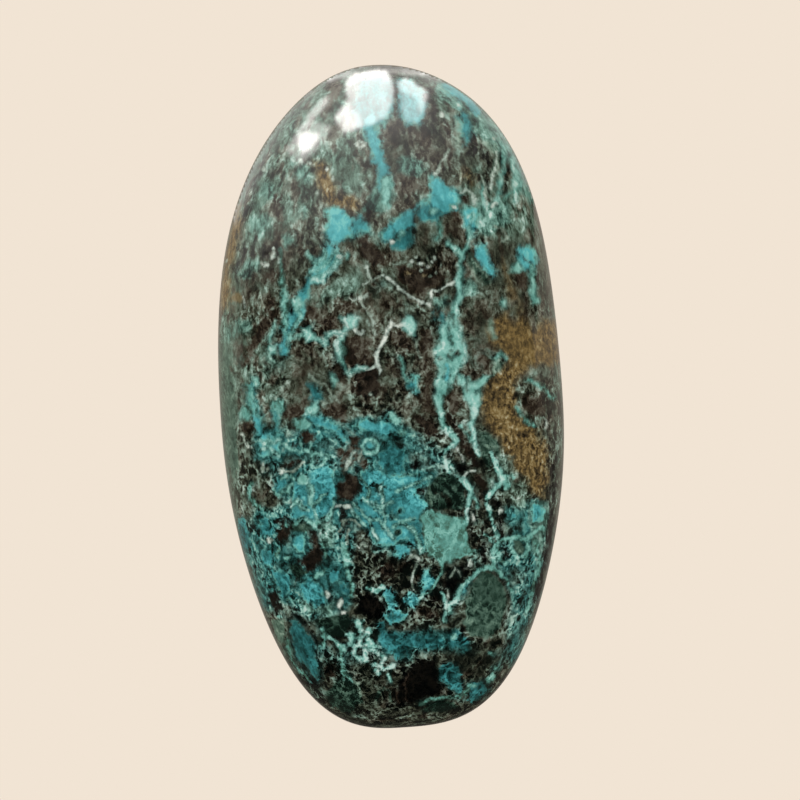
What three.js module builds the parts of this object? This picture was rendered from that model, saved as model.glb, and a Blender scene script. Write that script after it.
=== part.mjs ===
// A polished oval cabochon of copper-ore rock: azurite, chrysocolla and malachite in a dark matrix.
// It is one stone: a domed, hand-ground oval with a small bevel around a flat back.
// Millimetres, +Z up. The origin is the centre of the flat back and the long axis lies along Y.

import * as THREE from "three";
import { mergeVertices } from "three/addons/utils/BufferGeometryUtils.js";

// Driving dimensions.
const LENGTH = 40.0; // along Y
const WIDTH = 20.6; // along X
const THICKNESS = 7.0; // back to crown
const BEVEL = 0.35; // chamfer around the back, as wide as it is high at the stone's sides

// The oval is a superellipse: 2 would be a plain ellipse, and more fills out its shoulders.
const OVAL_POWER = 2.26;

// What the grinding wheel left: shallow waves around the rim, each with the bearing of a crest
// in degrees from +X towards +Y, and a depth in millimetres.
const RIM_WAVES = [
  { waves: 3, depth: 0.11, bearing: 42 },
  { waves: 4, depth: 0.06, bearing: -29 },
  { waves: 5, depth: 0.065, bearing: 24 },
  { waves: 6, depth: 0.045, bearing: -7 },
  { waves: 7, depth: 0.1, bearing: -9.5 },
];

// The dome's height is THICKNESS * (1 - r^DOME_SPREAD)^(1 / DOME_ROUNDING), where r runs from
// 0 at the crown to 1 at the rim: a broad crown that turns down steeply into the girdle.
const DOME_SPREAD = 2.4;
const DOME_ROUNDING = 2.3;

// Mesh fineness.
const SECTORS = 112;
const DOME_RINGS = 22;

const STONE_COLOUR = 0x3f6b66;
const STONE_ROUGHNESS = 0.12;

/** The rim's point in plan at an eccentric angle in radians, before it is centred. */
function rimPoint(angle) {
  const c = Math.cos(angle);
  const s = Math.sin(angle);
  const fill = (Math.abs(c) ** OVAL_POWER + Math.abs(s) ** OVAL_POWER) ** (-1 / OVAL_POWER);
  const point = new THREE.Vector2((WIDTH / 2) * fill * c, (LENGTH / 2) * fill * s);
  const proud = RIM_WAVES.reduce((sum, { waves, depth, bearing }) => {
    return sum + depth * Math.cos(waves * (angle - THREE.MathUtils.degToRad(bearing)));
  }, 0);
  return point.setLength(point.length() + proud);
}

/** The rim's own bounding box in plan, used to put the origin at the centre of the back. */
function rimBox() {
  const box = new THREE.Box2();
  const steps = 720;
  for (let i = 0; i < steps; i += 1) {
    box.expandByPoint(rimPoint((2 * Math.PI * i) / steps));
  }
  return box;
}

/** Height of the dome at a share of the way from the crown to the rim. */
function domeHeight(share) {
  return THICKNESS * Math.max(0, 1 - share ** DOME_SPREAD) ** (1 / DOME_ROUNDING);
}

/** The share at which the dome has come down to a height: the inverse of domeHeight. */
function domeShare(height) {
  return (1 - (height / THICKNESS) ** DOME_ROUNDING) ** (1 / DOME_SPREAD);
}

/** Half of the stone's section, from the centre of the back, round the bevel, to the crown. */
function sectionProfile() {
  const rimShare = domeShare(BEVEL);
  const backShare = rimShare - BEVEL / (WIDTH / 2);
  const profile = [new THREE.Vector2(0, 0), new THREE.Vector2(backShare, 0)];
  // Even steps in a slope-like parameter put rings close together on the steep girdle.
  for (let i = 0; i <= DOME_RINGS; i += 1) {
    const turn = (i / DOME_RINGS) * (Math.PI / 2);
    const share = rimShare * Math.cos(turn) ** (2 / DOME_SPREAD);
    profile.push(new THREE.Vector2(share, domeHeight(share)));
  }
  return profile;
}

/** The stone's closed surface: the section turned once round, then drawn out onto the oval rim. */
function stoneGeometry() {
  const lathe = new THREE.LatheGeometry(sectionProfile(), SECTORS);
  lathe.rotateX(Math.PI / 2);
  lathe.deleteAttribute("normal");
  lathe.deleteAttribute("uv");
  const geometry = mergeVertices(lathe, 1e-5);
  const centre = rimBox().getCenter(new THREE.Vector2());
  const position = geometry.getAttribute("position");
  for (let i = 0; i < position.count; i += 1) {
    const share = Math.hypot(position.getX(i), position.getY(i));
    const rim = rimPoint(Math.atan2(position.getY(i), position.getX(i))).sub(centre);
    position.setXY(i, rim.x * share, rim.y * share);
  }
  geometry.computeVertexNormals();
  return geometry;
}

/** The finished stone, polished on its dome. */
function stone() {
  const material = new THREE.MeshStandardMaterial({
    color: STONE_COLOUR,
    roughness: STONE_ROUGHNESS,
    metalness: 0,
  });
  const mesh = new THREE.Mesh(stoneGeometry(), material);
  mesh.name = "stone";
  return mesh;
}

const cabochon = new THREE.Group();
cabochon.add(stone());

export default cabochon;
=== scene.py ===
"""A polished oval cabochon of copper-ore rock, lying on its flat back on a pale floor.

The stone is one closed surface: a domed, hand-ground oval with a small bevel round a flat back. Its rock
is a dark brown and grey-green matrix with blue-green chrysocolla, pale green malachite veins, ochre
limonite and black tenorite. The marks that can be told apart are laid on the dome as distances in
millimetres, and the grain inside and between them is solid noise, so that it runs on round the sides.
"""

import logging
from dataclasses import dataclass, field
from enum import Enum

import bpy
import numpy as np
from mathutils import Matrix


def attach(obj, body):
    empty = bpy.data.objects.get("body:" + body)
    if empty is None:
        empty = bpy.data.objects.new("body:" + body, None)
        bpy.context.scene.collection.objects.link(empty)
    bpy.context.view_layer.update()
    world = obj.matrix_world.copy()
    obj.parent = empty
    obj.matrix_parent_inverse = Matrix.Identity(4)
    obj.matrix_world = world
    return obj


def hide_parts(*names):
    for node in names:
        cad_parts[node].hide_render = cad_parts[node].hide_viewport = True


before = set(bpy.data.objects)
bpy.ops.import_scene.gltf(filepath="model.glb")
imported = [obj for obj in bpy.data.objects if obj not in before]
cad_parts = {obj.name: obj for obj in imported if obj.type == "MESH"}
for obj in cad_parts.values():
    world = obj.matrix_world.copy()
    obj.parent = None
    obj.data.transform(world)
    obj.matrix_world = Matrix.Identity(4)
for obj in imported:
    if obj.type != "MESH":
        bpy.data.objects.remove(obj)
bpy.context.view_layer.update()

MM = 0.001  # metres in a millimetre: the stone's sizes below are in millimetres
LOG = logging.getLogger("cabochon")

Point = complex  # a place in plan, x + yj, in millimetres from the stone's centre
Outline = tuple[Point, ...]
Colour = tuple[int, int, int]


def linear(colour: Colour) -> tuple[float, float, float, float]:
    """A screen colour turned into light by the sRGB curve.

    Args:
        colour: Red, green and blue in screen steps from 0 to 255.

    Returns:
        Linear red, green, blue and an opacity of 1.
    """
    steps = np.array(colour) / 255
    light = np.where(steps <= 0.04045, steps / 12.92, ((steps + 0.055) / 1.055) ** 2.4)
    return (*(float(v) for v in light), 1.0)


def smooth_step(values: np.ndarray, low: float, high: float) -> np.ndarray:
    """Rises from 0 at low to 1 at high, as 3 t^2 - 2 t^3."""
    t = np.clip((values - low) / (high - low), 0, 1)
    return t * t * (3 - 2 * t)


def edge_distance(x: np.ndarray, y: np.ndarray, start: Point, end: Point) -> tuple[np.ndarray, np.ndarray]:
    """How far places lie from a straight edge: each is dropped onto the edge, or onto its nearer end.

    Args:
        x: Places along X.
        y: Places along Y.
        start: Where the edge starts.
        end: Where it ends, away from the start.

    Returns:
        The distances, and the share of the way along the edge of each nearest point.
    """
    ax, ay = start.real, start.imag
    dx, dy = end.real - ax, end.imag - ay
    share = np.clip(((x - ax) * dx + (y - ay) * dy) / (dx * dx + dy * dy), 0, 1)
    return np.hypot(x - ax - share * dx, y - ay - share * dy), share


def outline_depth(outline: Outline, x: np.ndarray, y: np.ndarray) -> np.ndarray:
    """Distance to a closed outline, positive where a level line crosses it an odd number of times.

    Args:
        outline: The outline's corners.
        x: Places along X.
        y: Places along Y.

    Returns:
        How far inside each place lies, negative outside.
    """
    distance = np.full(x.shape, np.inf)
    inside = np.zeros(x.shape, dtype=bool)
    for start, end in zip(outline, outline[1:] + outline[:1]):
        distance = np.minimum(distance, edge_distance(x, y, start, end)[0])
        crosses = (start.imag > y) != (end.imag > y)
        rise = (end.imag - start.imag) or 1.0  # no level line crosses a level edge
        inside ^= crosses & (x < start.real + (y - start.imag) * (end.real - start.real) / rise)
    return np.where(inside, distance, -distance)


def grid_quads(across: int, along: int) -> np.ndarray:
    """The corner numbers of a grid's cells, row by row, each going round from its lowest.

    Args:
        across: Cells in a row.
        along: Rows.

    Returns:
        M by 4 corner numbers.
    """
    rows, columns = np.meshgrid(np.arange(along), np.arange(across), indexing="ij")
    corner = (rows * (across + 1) + columns).ravel()
    return np.stack((corner, corner + 1, corner + across + 2, corner + across + 1), axis=1)


def new_piece(
    name: str,
    places: np.ndarray,
    faces: list[np.ndarray],
    values: dict[str, np.ndarray],
    material: bpy.types.Material,
) -> bpy.types.Object:
    """A mesh object at the origin.

    Args:
        name: Its name.
        places: N by 3 places in metres.
        faces: Blocks of corner numbers, one face to a row.
        values: N values for each of the mesh's attributes, by name.
        material: Its material.

    Returns:
        The object.
    """
    mesh = bpy.data.meshes.new(name)
    mesh.from_pydata(places.tolist(), [], [row for block in faces for row in block.tolist()])
    for attribute_name, levels in values.items():
        attribute = mesh.attributes.new(attribute_name, "FLOAT", "POINT")
        attribute.data.foreach_set("value", levels.astype(np.float32))
    mesh.materials.append(material)
    piece = bpy.data.objects.new(name, mesh)
    bpy.context.scene.collection.objects.link(piece)
    return piece


class SolidNoise:
    """Gradient noise in space, from a shuffled table of directions."""

    SIZE = 256  # directions in the table
    GAIN = 1.6  # brings the sums to about -1 to 1

    def __init__(self, seed: int) -> None:
        """Makes the table.

        Args:
            seed: Settles the directions and their order.
        """
        random = np.random.default_rng(seed)
        self.order = np.tile(random.permutation(self.SIZE), 3)
        directions = random.normal(size=(self.SIZE, 3))
        self.directions = directions / np.linalg.norm(directions, axis=1, keepdims=True)

    def at(self, points: np.ndarray, wavelength: float) -> np.ndarray:
        """Noise at points, about -1 to 1.

        Each point takes the dot products of the eight corner directions of its lattice cell with its
        offsets from those corners, blended by 6 t^5 - 15 t^4 + 10 t^3 along each axis.

        Args:
            points: N places in space.
            wavelength: The size of a lattice cell, in the same unit.

        Returns:
            N values.
        """
        scaled = points / wavelength
        cell = np.floor(scaled).astype(int)
        offset = scaled - cell
        blend = offset**3 * (offset * (offset * 6 - 15) + 10)
        total = np.zeros(len(points))
        for corner in np.ndindex(2, 2, 2):
            shift = np.array(corner)
            i, j, k = ((cell + shift) % self.SIZE).T
            hashed = self.order[self.order[self.order[i] + j] + k]
            reach = np.einsum("ij,ij->i", self.directions[hashed], offset - shift)
            weight = np.prod(np.where(shift, blend, 1 - blend), axis=1)
            total += reach * weight
        return total * self.GAIN

    def layered(self, points: np.ndarray, wavelength: float, octaves: int) -> np.ndarray:
        """A sum of octaves, each of half the wavelength and half the strength of the one before."""
        return sum(self.at(points, wavelength / 2**n) / 2**n for n in range(octaves))


class Mineral(Enum):
    """The minerals whose marks are laid one by one, from the ground up."""

    CHLORITE = "chlorite"  # grey-green, from deep green-black to pale sage
    LIMONITE = "limonite"  # ochre
    TENORITE = "tenorite"  # black to brown
    CHRYSOCOLLA = "chrysocolla"  # blue-green, from deep teal to bright turquoise
    MALACHITE = "malachite"  # pale green, from sage mint to chalky white
    CALCITE = "calcite"  # grey to cream-white threads


class Ground(Enum):
    """What the rock between the marks is like, as soft areas; the pale and mint ones along the rim are
    painted sheen.
    """

    MOSAIC = "mosaic"  # blue-green grains set against each other
    STAIN = "stain"  # ochre soaked into the rock
    PALE_AND_RIM_SHEEN = "pale"  # more grey-green than brown; along the rim it is painted sheen, a lighter band where the steep polish mirrors the bright surroundings
    DARK = "dark"  # more brown and black than grey-green
    CALM = "calm"  # less grain, as on the smooth rim
    MINT_AND_RIM_SHEEN = "mint"  # mottled mint and chalky white; along the upper right and right rim it is painted sheen, a paler band where the steep polish mirrors the bright surroundings


@dataclass(frozen=True)
class Mark:
    """A mark of one mineral on the dome, seen in plan."""

    mineral: Mineral
    tone: float
    path: Outline

    REACH = 0.8  # how far from its outline a mark is worked out

    def box(self) -> tuple[np.ndarray, np.ndarray]:
        """The lowest and highest corners of the plan area that the mark touches."""
        points = np.array([(point.real, point.imag) for point in self.path])
        return points.min(axis=0) - self.REACH, points.max(axis=0) + self.REACH

    def depth(self, x: np.ndarray, y: np.ndarray) -> np.ndarray:
        """How far inside the mark each point lies, negative outside."""
        raise NotImplementedError


@dataclass(frozen=True)
class Vein(Mark):
    """A thin mark along a path, with its width at each end."""

    width: float = 0.2
    end_width: float = 0.0

    def depth(self, x: np.ndarray, y: np.ndarray) -> np.ndarray:
        """Half the width less the distance to the path, the width changing evenly along it.

        Args:
            x: Places along X.
            y: Places along Y.

        Returns:
            The depth of each place, negative outside.
        """
        end_width = self.end_width or self.width
        stretches = len(self.path) - 1
        best = np.full(x.shape, -np.inf)
        for i, (start, end) in enumerate(zip(self.path, self.path[1:])):
            distance, share = edge_distance(x, y, start, end)
            width = self.width + (end_width - self.width) * (i + share) / stretches
            best = np.maximum(best, width / 2 - distance)
        return best


@dataclass(frozen=True)
class Patch(Mark):
    """A mark inside a closed outline."""

    def depth(self, x: np.ndarray, y: np.ndarray) -> np.ndarray:
        """How far inside the outline each point lies, negative outside."""
        return outline_depth(self.path, x, y)


@dataclass(frozen=True)
class Spot(Mark):
    """A round or oval mark at one place."""

    radius: float = 0.2
    tall: float = 1.0

    def box(self) -> tuple[np.ndarray, np.ndarray]:
        """The plan area round the spot.

        Returns:
            Its lowest and highest corners.
        """
        (centre,) = self.path
        middle = np.array((centre.real, centre.imag))
        reach = self.radius * max(1.0, self.tall) + self.REACH
        return middle - reach, middle + reach

    def depth(self, x: np.ndarray, y: np.ndarray) -> np.ndarray:
        """The radius less the distance to the centre, with distances along Y shrunk by the tallness."""
        (centre,) = self.path
        return self.radius - np.hypot(x - centre.real, (y - centre.imag) / self.tall)


# Short for the minerals in the lists of marks below.
C, M, T, L, S, K = (
    Mineral.CHRYSOCOLLA,
    Mineral.MALACHITE,
    Mineral.TENORITE,
    Mineral.LIMONITE,
    Mineral.CHLORITE,
    Mineral.CALCITE,
)

# Outlines of soft areas that are both calm and dark.
PEBBLE_BED: Outline = (4.3-4.6j, 5.6-5.2j, 6.6-6.6j, 7.4-8.2j, 6.2-9.4j, 4.4-9.2j, 4.5-6.8j)
OCHRE_FLANK: Outline = (4.7+5.6j, 7+4.6j, 6.4+2.6j, 5.6+0.8j, 4.6+1.2j)
OCHRE_HEAD: Outline = (5.6+7.2j, 8.2+7j, 8.9+4.6j, 7.4+3.8j, 6.2+4.6j)

# Soft areas of the ground: how strongly each shows, and its outline.
GROUNDS: dict[Ground, tuple[tuple[float, Outline], ...]] = {
    Ground.MOSAIC: (
        (1.0, (-8.5-1.6j, -6.2-1.9j, -4.5-0.8j, -2.3-1.2j, -0.3-1.1j, 1.2-2.2j, 2.7-3j, 2.8-4.8j, 1.6-6.2j,
            1.2-8j, 0.9-9.2j, -1-9j, -2.2-8j, -2.6-9.6j, -2.9-12.6j, -4.5-13.4j, -6.4-12.6j, -8.2-12.6j,
            -9.4-8.5j, -8.4-6.6j, -6.4-6.2j, -7.6-4.6j, -8.4-3.5j)),
        (1.0, (6.4-6.8j, 8.9-6.6j, 9.2-9j, 8.2-12.5j, 7.2-16.2j, 5.6-16.6j, 6.6-13.6j, 6.7-11.6j, 5.9-10.4j,
            5.9-9.4j, 6.6-8.4j)),
        (0.9, (-1.3-14.2j, 0.2-14.2j, 1.6-14j, 2.9-14.3j, 4.3-15j, 4.2-15.6j, 2.8-15.4j, 1.2-15.4j,
            0.3-15.7j, -0.9-15.5j)),
        (0.5, (-5-12.9j, -2.6-13.1j, -2.6-15.6j, -4.6-18.6j, -5.6-17j)),
    ),
    Ground.STAIN: (
        (1.0, (6.1+4.2j, 6.9+4.6j, 7.5+4j, 8.1+4.4j, 8.8+3.6j, 9.4+4.2j, 10.7+3.8j, 10.7+1.6j, 9.3+1.5j,
            8.3+1.6j, 7.9+1.1j, 7.3+0.3j, 7.4-1j, 7.9-1.8j, 8.6-2.3j, 9.2-3.5j, 9.2-5.5j, 8.8-6.6j, 8.2-6j,
            7.9-5.2j, 7.2-4.8j, 7.2-4j, 6.6-3.4j, 6.5-2.9j, 5.8-2.4j, 5.5-1.8j, 5.4-0.4j, 5.9+0.7j, 6.6+1.2j,
            7.1+1.9j, 6.6+2.6j, 6.1+3.2j)),
        (0.95, (-4.1+14.4j, -3.5+14.2j, -3+13.2j, -2.7+12.2j, -1.6+11.8j, -1.5+11.3j, -2.4+11.4j, -3.5+12j,
            -3.9+13j)),
        (0.8, (-10.2+5.5j, -10+8j, -9.5+10j, -8.9+12j, -8.4+12j, -8.6+10j, -8.9+8.8j, -9.3+7.6j, -9.4+5.5j)),
        (0.55, (4.7+13.5j, 5.4+13.6j, 5.7+12.9j, 5.3+12.2j, 4.7+12.5j)),
        (0.6, (6.9+8.2j, 7.2+8j, 7.7+6.2j, 8.3+4.6j, 7.8+4.4j, 7.3+6j)),
    ),
    Ground.PALE_AND_RIM_SHEEN: (
        # The first four pale areas run along the rim and are painted sheen, lighter where the steep polish
        # mirrors the bright surroundings.
        (1.0, (-10.4-8j, -10.4+6j, -9.3+6j, -9.4+0j, -9.8-4j, -9.6-6j, -9-8j)),
        (1.0, (-10.6+4j, -10.2+8j, -9.2+12j, -7.6+15.4j, -5.4+17.6j, -4.6+16.8j, -6.6+14.6j, -8+12j, -9+8j,
            -9.4+4j)),
        (1.0, (3.6+19.4j, 5.8+18.2j, 7.8+16j, 9.4+12.8j, 10+10j, 9.2+10.6j, 7.8+13.2j, 6.2+15.2j, 4.8+16.6j,
            3+17.4j)),
        (0.8, (10.6+5j, 10.6-0.5j, 9.9-0.5j, 9.8+5j)),
        (0.9, (-8.6+12j, -6+17.4j, -3+19.6j, -0.5+19.8j, -0.5+16.4j, -1+12.2j, -2.8+12.2j, -4.2+14j, -4+11j,
            -6.8+9.6j, -8.8+9.4j)),
        (0.8, (-4.2+6.8j, -1.6+7.6j, -1.2+6j, -3+5.6j, -4+6j)),
        (0.7, (5.5+13.6j, 8.8+12j, 9.3+9.6j, 7.4+9j, 5.8+9.4j, 4.6+12.2j)),
        (0.5, (-9.2+4j, -6.6+4.4j, -6.4+0.4j, -7-1j, -9.2-1j)),
        (0.8, (5.2-2.2j, 6.6-3.4j, 8.2-6.6j, 8-8.4j, 6.6-8.4j, 6.8-6.4j, 5.6-4.8j)),
    ),
    Ground.DARK: (
        (1.0, (-6.9-16.5j, -4.8-18.9j, -2-20.4j, 2-20.4j, 5.2-19j, 6.6-16.8j, 5.4-16.6j, 3.6-18.3j,
            1.5-19.1j, -1.5-19.1j, -4-18.1j, -5.8-16.2j)),
        (0.55, PEBBLE_BED),
        (0.6, (9+0.2j, 9.7+0j, 9.8-3j, 9.6-5.6j, 9-5.2j, 9.1-2.8j)),
        (0.6, (3.8-14.8j, 6.2-14.6j, 6.4-16.4j, 3.8-16.6j)),
        (0.7, (-4.9-13.2j, -0.8-13.4j, -1-18j, -3.2-18.4j, -4.6-17.2j)),
        (0.45, OCHRE_FLANK),
        (0.45, (-6.9+3j, -6+3.2j, -5.4+2.4j, -5.6+1.2j, -6.2+0.8j, -6.8+1j)),
        (0.4, OCHRE_HEAD),
        (0.5, (-6.9+14.4j, -6.2+14.2j, -5.9+11.6j, -5.9+9j, -6.7+9j, -6.6+11.6j)),
        (0.3, (5+7.8j, 7.6+9j, 8.4+5.4j, 7+4.4j, 5+3.8j)),
        (0.45, (0.4+16.4j, 2.2+16j, 3.4+16.2j, 3.6+14.8j, 2.6+14.4j, 0.6+14.8j)),
        (0.8, (0.3+7.6j, 1.5+8.4j, 3.4+9j, 4.3+8j, 4.2+6.8j, 2.6+6j, 1.2+6.4j)),
        (0.4, (-5.4+5.4j, -3.4+4.9j, -1.5+4j, 0.8+4.2j, 2.6+4.2j, 2.6-2.6j, 0.6-1.2j, -2.3-1j, -3+1j,
            -5.4+2j)),
        (1.0, (-2.6-9.2j, 0.9-9.6j, 2.4-10.4j, 4.8-10.2j, 3.4-12j, 3.2-13.6j, 1-14j, -1-13.6j, -2.6-12.6j)),
        (1.0, (-4.8-15.6j, -2.8-15.8j, -0.6-16.2j, 0.4-15.6j, 2.4-15.6j, 5.2-15.2j, 5.2-17.2j, 3.6-18.4j,
            0.4-19.6j, -3.2-19.2j, -4.8-17.4j)),
    ),
    Ground.CALM: (
        (0.7, (-2.9+14.3j, -1.9+14.6j, -1.1+13.8j, -1.2+12.4j, -2+12.1j, -2.8+12.9j)),
        (0.45, PEBBLE_BED),
        (0.45, (1.4-6.9j, 4.2-7j, 4.4-9.8j, 2.6-10.4j, 1.6-9.6j)),
        (0.8, (-6.8-13j, -5.7-13.2j, -4.9-15j, -4.8-17j, -5.5-17j, -6.7-15j)),
        (0.7, (5-10.8j, 6-11j, 6.7-12.4j, 6.2-14.2j, 5-14.8j, 3.8-14.4j, 4-12.2j)),
        (0.8, (2.4-15.4j, 6.4-15.2j, 6-18j, 3-18.6j, 2.2-17.6j)),
        (0.9, (-2.8-16.3j, -0.6-16.6j, 2.4-15.6j, 2.8-18.2j, 0.4-19.2j, -2.8-18.9j)),
        (0.7, (6.4+4.6j, 10.2+4.8j, 10.2+1.2j, 7.6+1.4j, 6.6+2.4j)),
        (0.9, OCHRE_FLANK),
        (0.7, (-6.8+3j, -5.2+3.2j, -4+2.4j, -4.2+1.2j, -5.2+0.6j, -6.6+1j)),
        (0.8, OCHRE_HEAD),
        (0.7, (8.4-0.8j, 9.9-0.6j, 9.9-5j, 9.4-5.6j, 9.3-3.5j, 8.7-2.4j)),
        (0.6, (4.8+8.4j, 7.4+9.4j, 9.8+9j, 10.2+4.8j, 6.4+4.6j, 5.2+5.6j)),
        (0.6, (-10.2+9j, -8.6+9j, -8.4+6.4j, -8.6-1.4j, -9.4-5j, -10.2-4j)),
    ),
    Ground.MINT_AND_RIM_SHEEN: (
        # The first two mint areas run along the upper right and the right rim and are painted sheen, paler
        # where the steep polish mirrors the bright surroundings.
        (1.0, (3.6+19j, 5.8+17.7j, 7.6+15.6j, 9+12.8j, 9.6+10.6j, 8.9+11.2j, 7.8+13.2j, 6.2+15.2j, 4.8+16.8j,
            3.2+17.8j)),
        (0.5, (10.3+0.5j, 10.6-3j, 10.2-6j, 9.9-5.6j, 10-3j, 10.1+0.5j)),
        (1.0, (0.8+14.2j, 1.5+14.4j, 2.4+14j, 2.7+13.5j, 2.3+13.1j, 1.4+13.1j, 0.8+13.4j)),
        (1.0, (-1.7+11.1j, -1.2+11.6j, -0.6+12.2j, -0.3+13.2j, 0.7+13.2j, 0.7+11.8j, 0.1+11.1j, -0.7+10.9j)),
        (0.9, (5.6+11.4j, 6.6+11.6j, 7.6+11.3j, 7.7+10j, 6.4+9.4j, 5.2+9.3j, 5.6+10.2j)),
        (0.8, (-8.1+10.1j, -8.1+11.1j, -7.3+11.5j, -6.6+11j, -6.7+10.2j, -7.4+9.7j)),
        (0.75, (-7.5+13.3j, -6.8+13.5j, -6.4+12.8j, -6.6+12j, -7.3+11.8j, -7.6+12.4j)),
        (0.8, (-5.5+14.4j, -4.3+14.2j, -4.1+13.4j, -4.6+12.8j, -5.4+13.4j)),
        (0.9, (7.1+15.4j, 7.7+15.2j, 8.5+13.6j, 8.6+12j, 7.9+11.8j, 7.8+13.2j)),
        (0.7, (-5.1+11.9j, -4.4+11.8j, -4.3+10.8j, -4.9+10.6j)),
        (0.7, (-6.2+10j, -5.2+10j, -5.1+9.2j, -6.1+9j)),
        (0.8, (-8.9+7.7j, -8.3+8.6j, -7.6+8.8j, -7.4+7.9j, -7.8+7.4j, -8.6+7.3j)),
        (0.7, (-9.1+5.2j, -8+5.3j, -8+4.3j, -9+3.6j, -10+3.6j, -9.9+4.6j)),
        (0.8, (-7.7+2.9j, -6.8+2.9j, -6.6+2j, -7.4+1.8j)),
        (0.8, (4.3+7j, 5.2+7j, 5.5+6.2j, 5+5.7j, 4.3+5.8j)),
        (0.8, (2.6+5.8j, 3.8+6.2j, 4.1+5.2j, 3+4.9j)),
        (0.9, (-5.1-7.3j, -4-6.9j, -3.5-7.6j, -3.6-9j, -4.4-9j, -4.8-8.1j)),
        (0.45, (4.5-7.4j, 5.6-7.2j, 6-8.6j, 5.4-9j, 4.5-8.8j)),
        (0.9, (7.9-6.6j, 9.1-6.6j, 9.1-8.3j, 8.6-10.4j, 7.8-9.6j, 7.9-8.2j)),
        (0.8, (-6.2-12.1j, -3.9-12.1j, -3.9-13.2j, -5.6-13j)),
    ),
}

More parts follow.
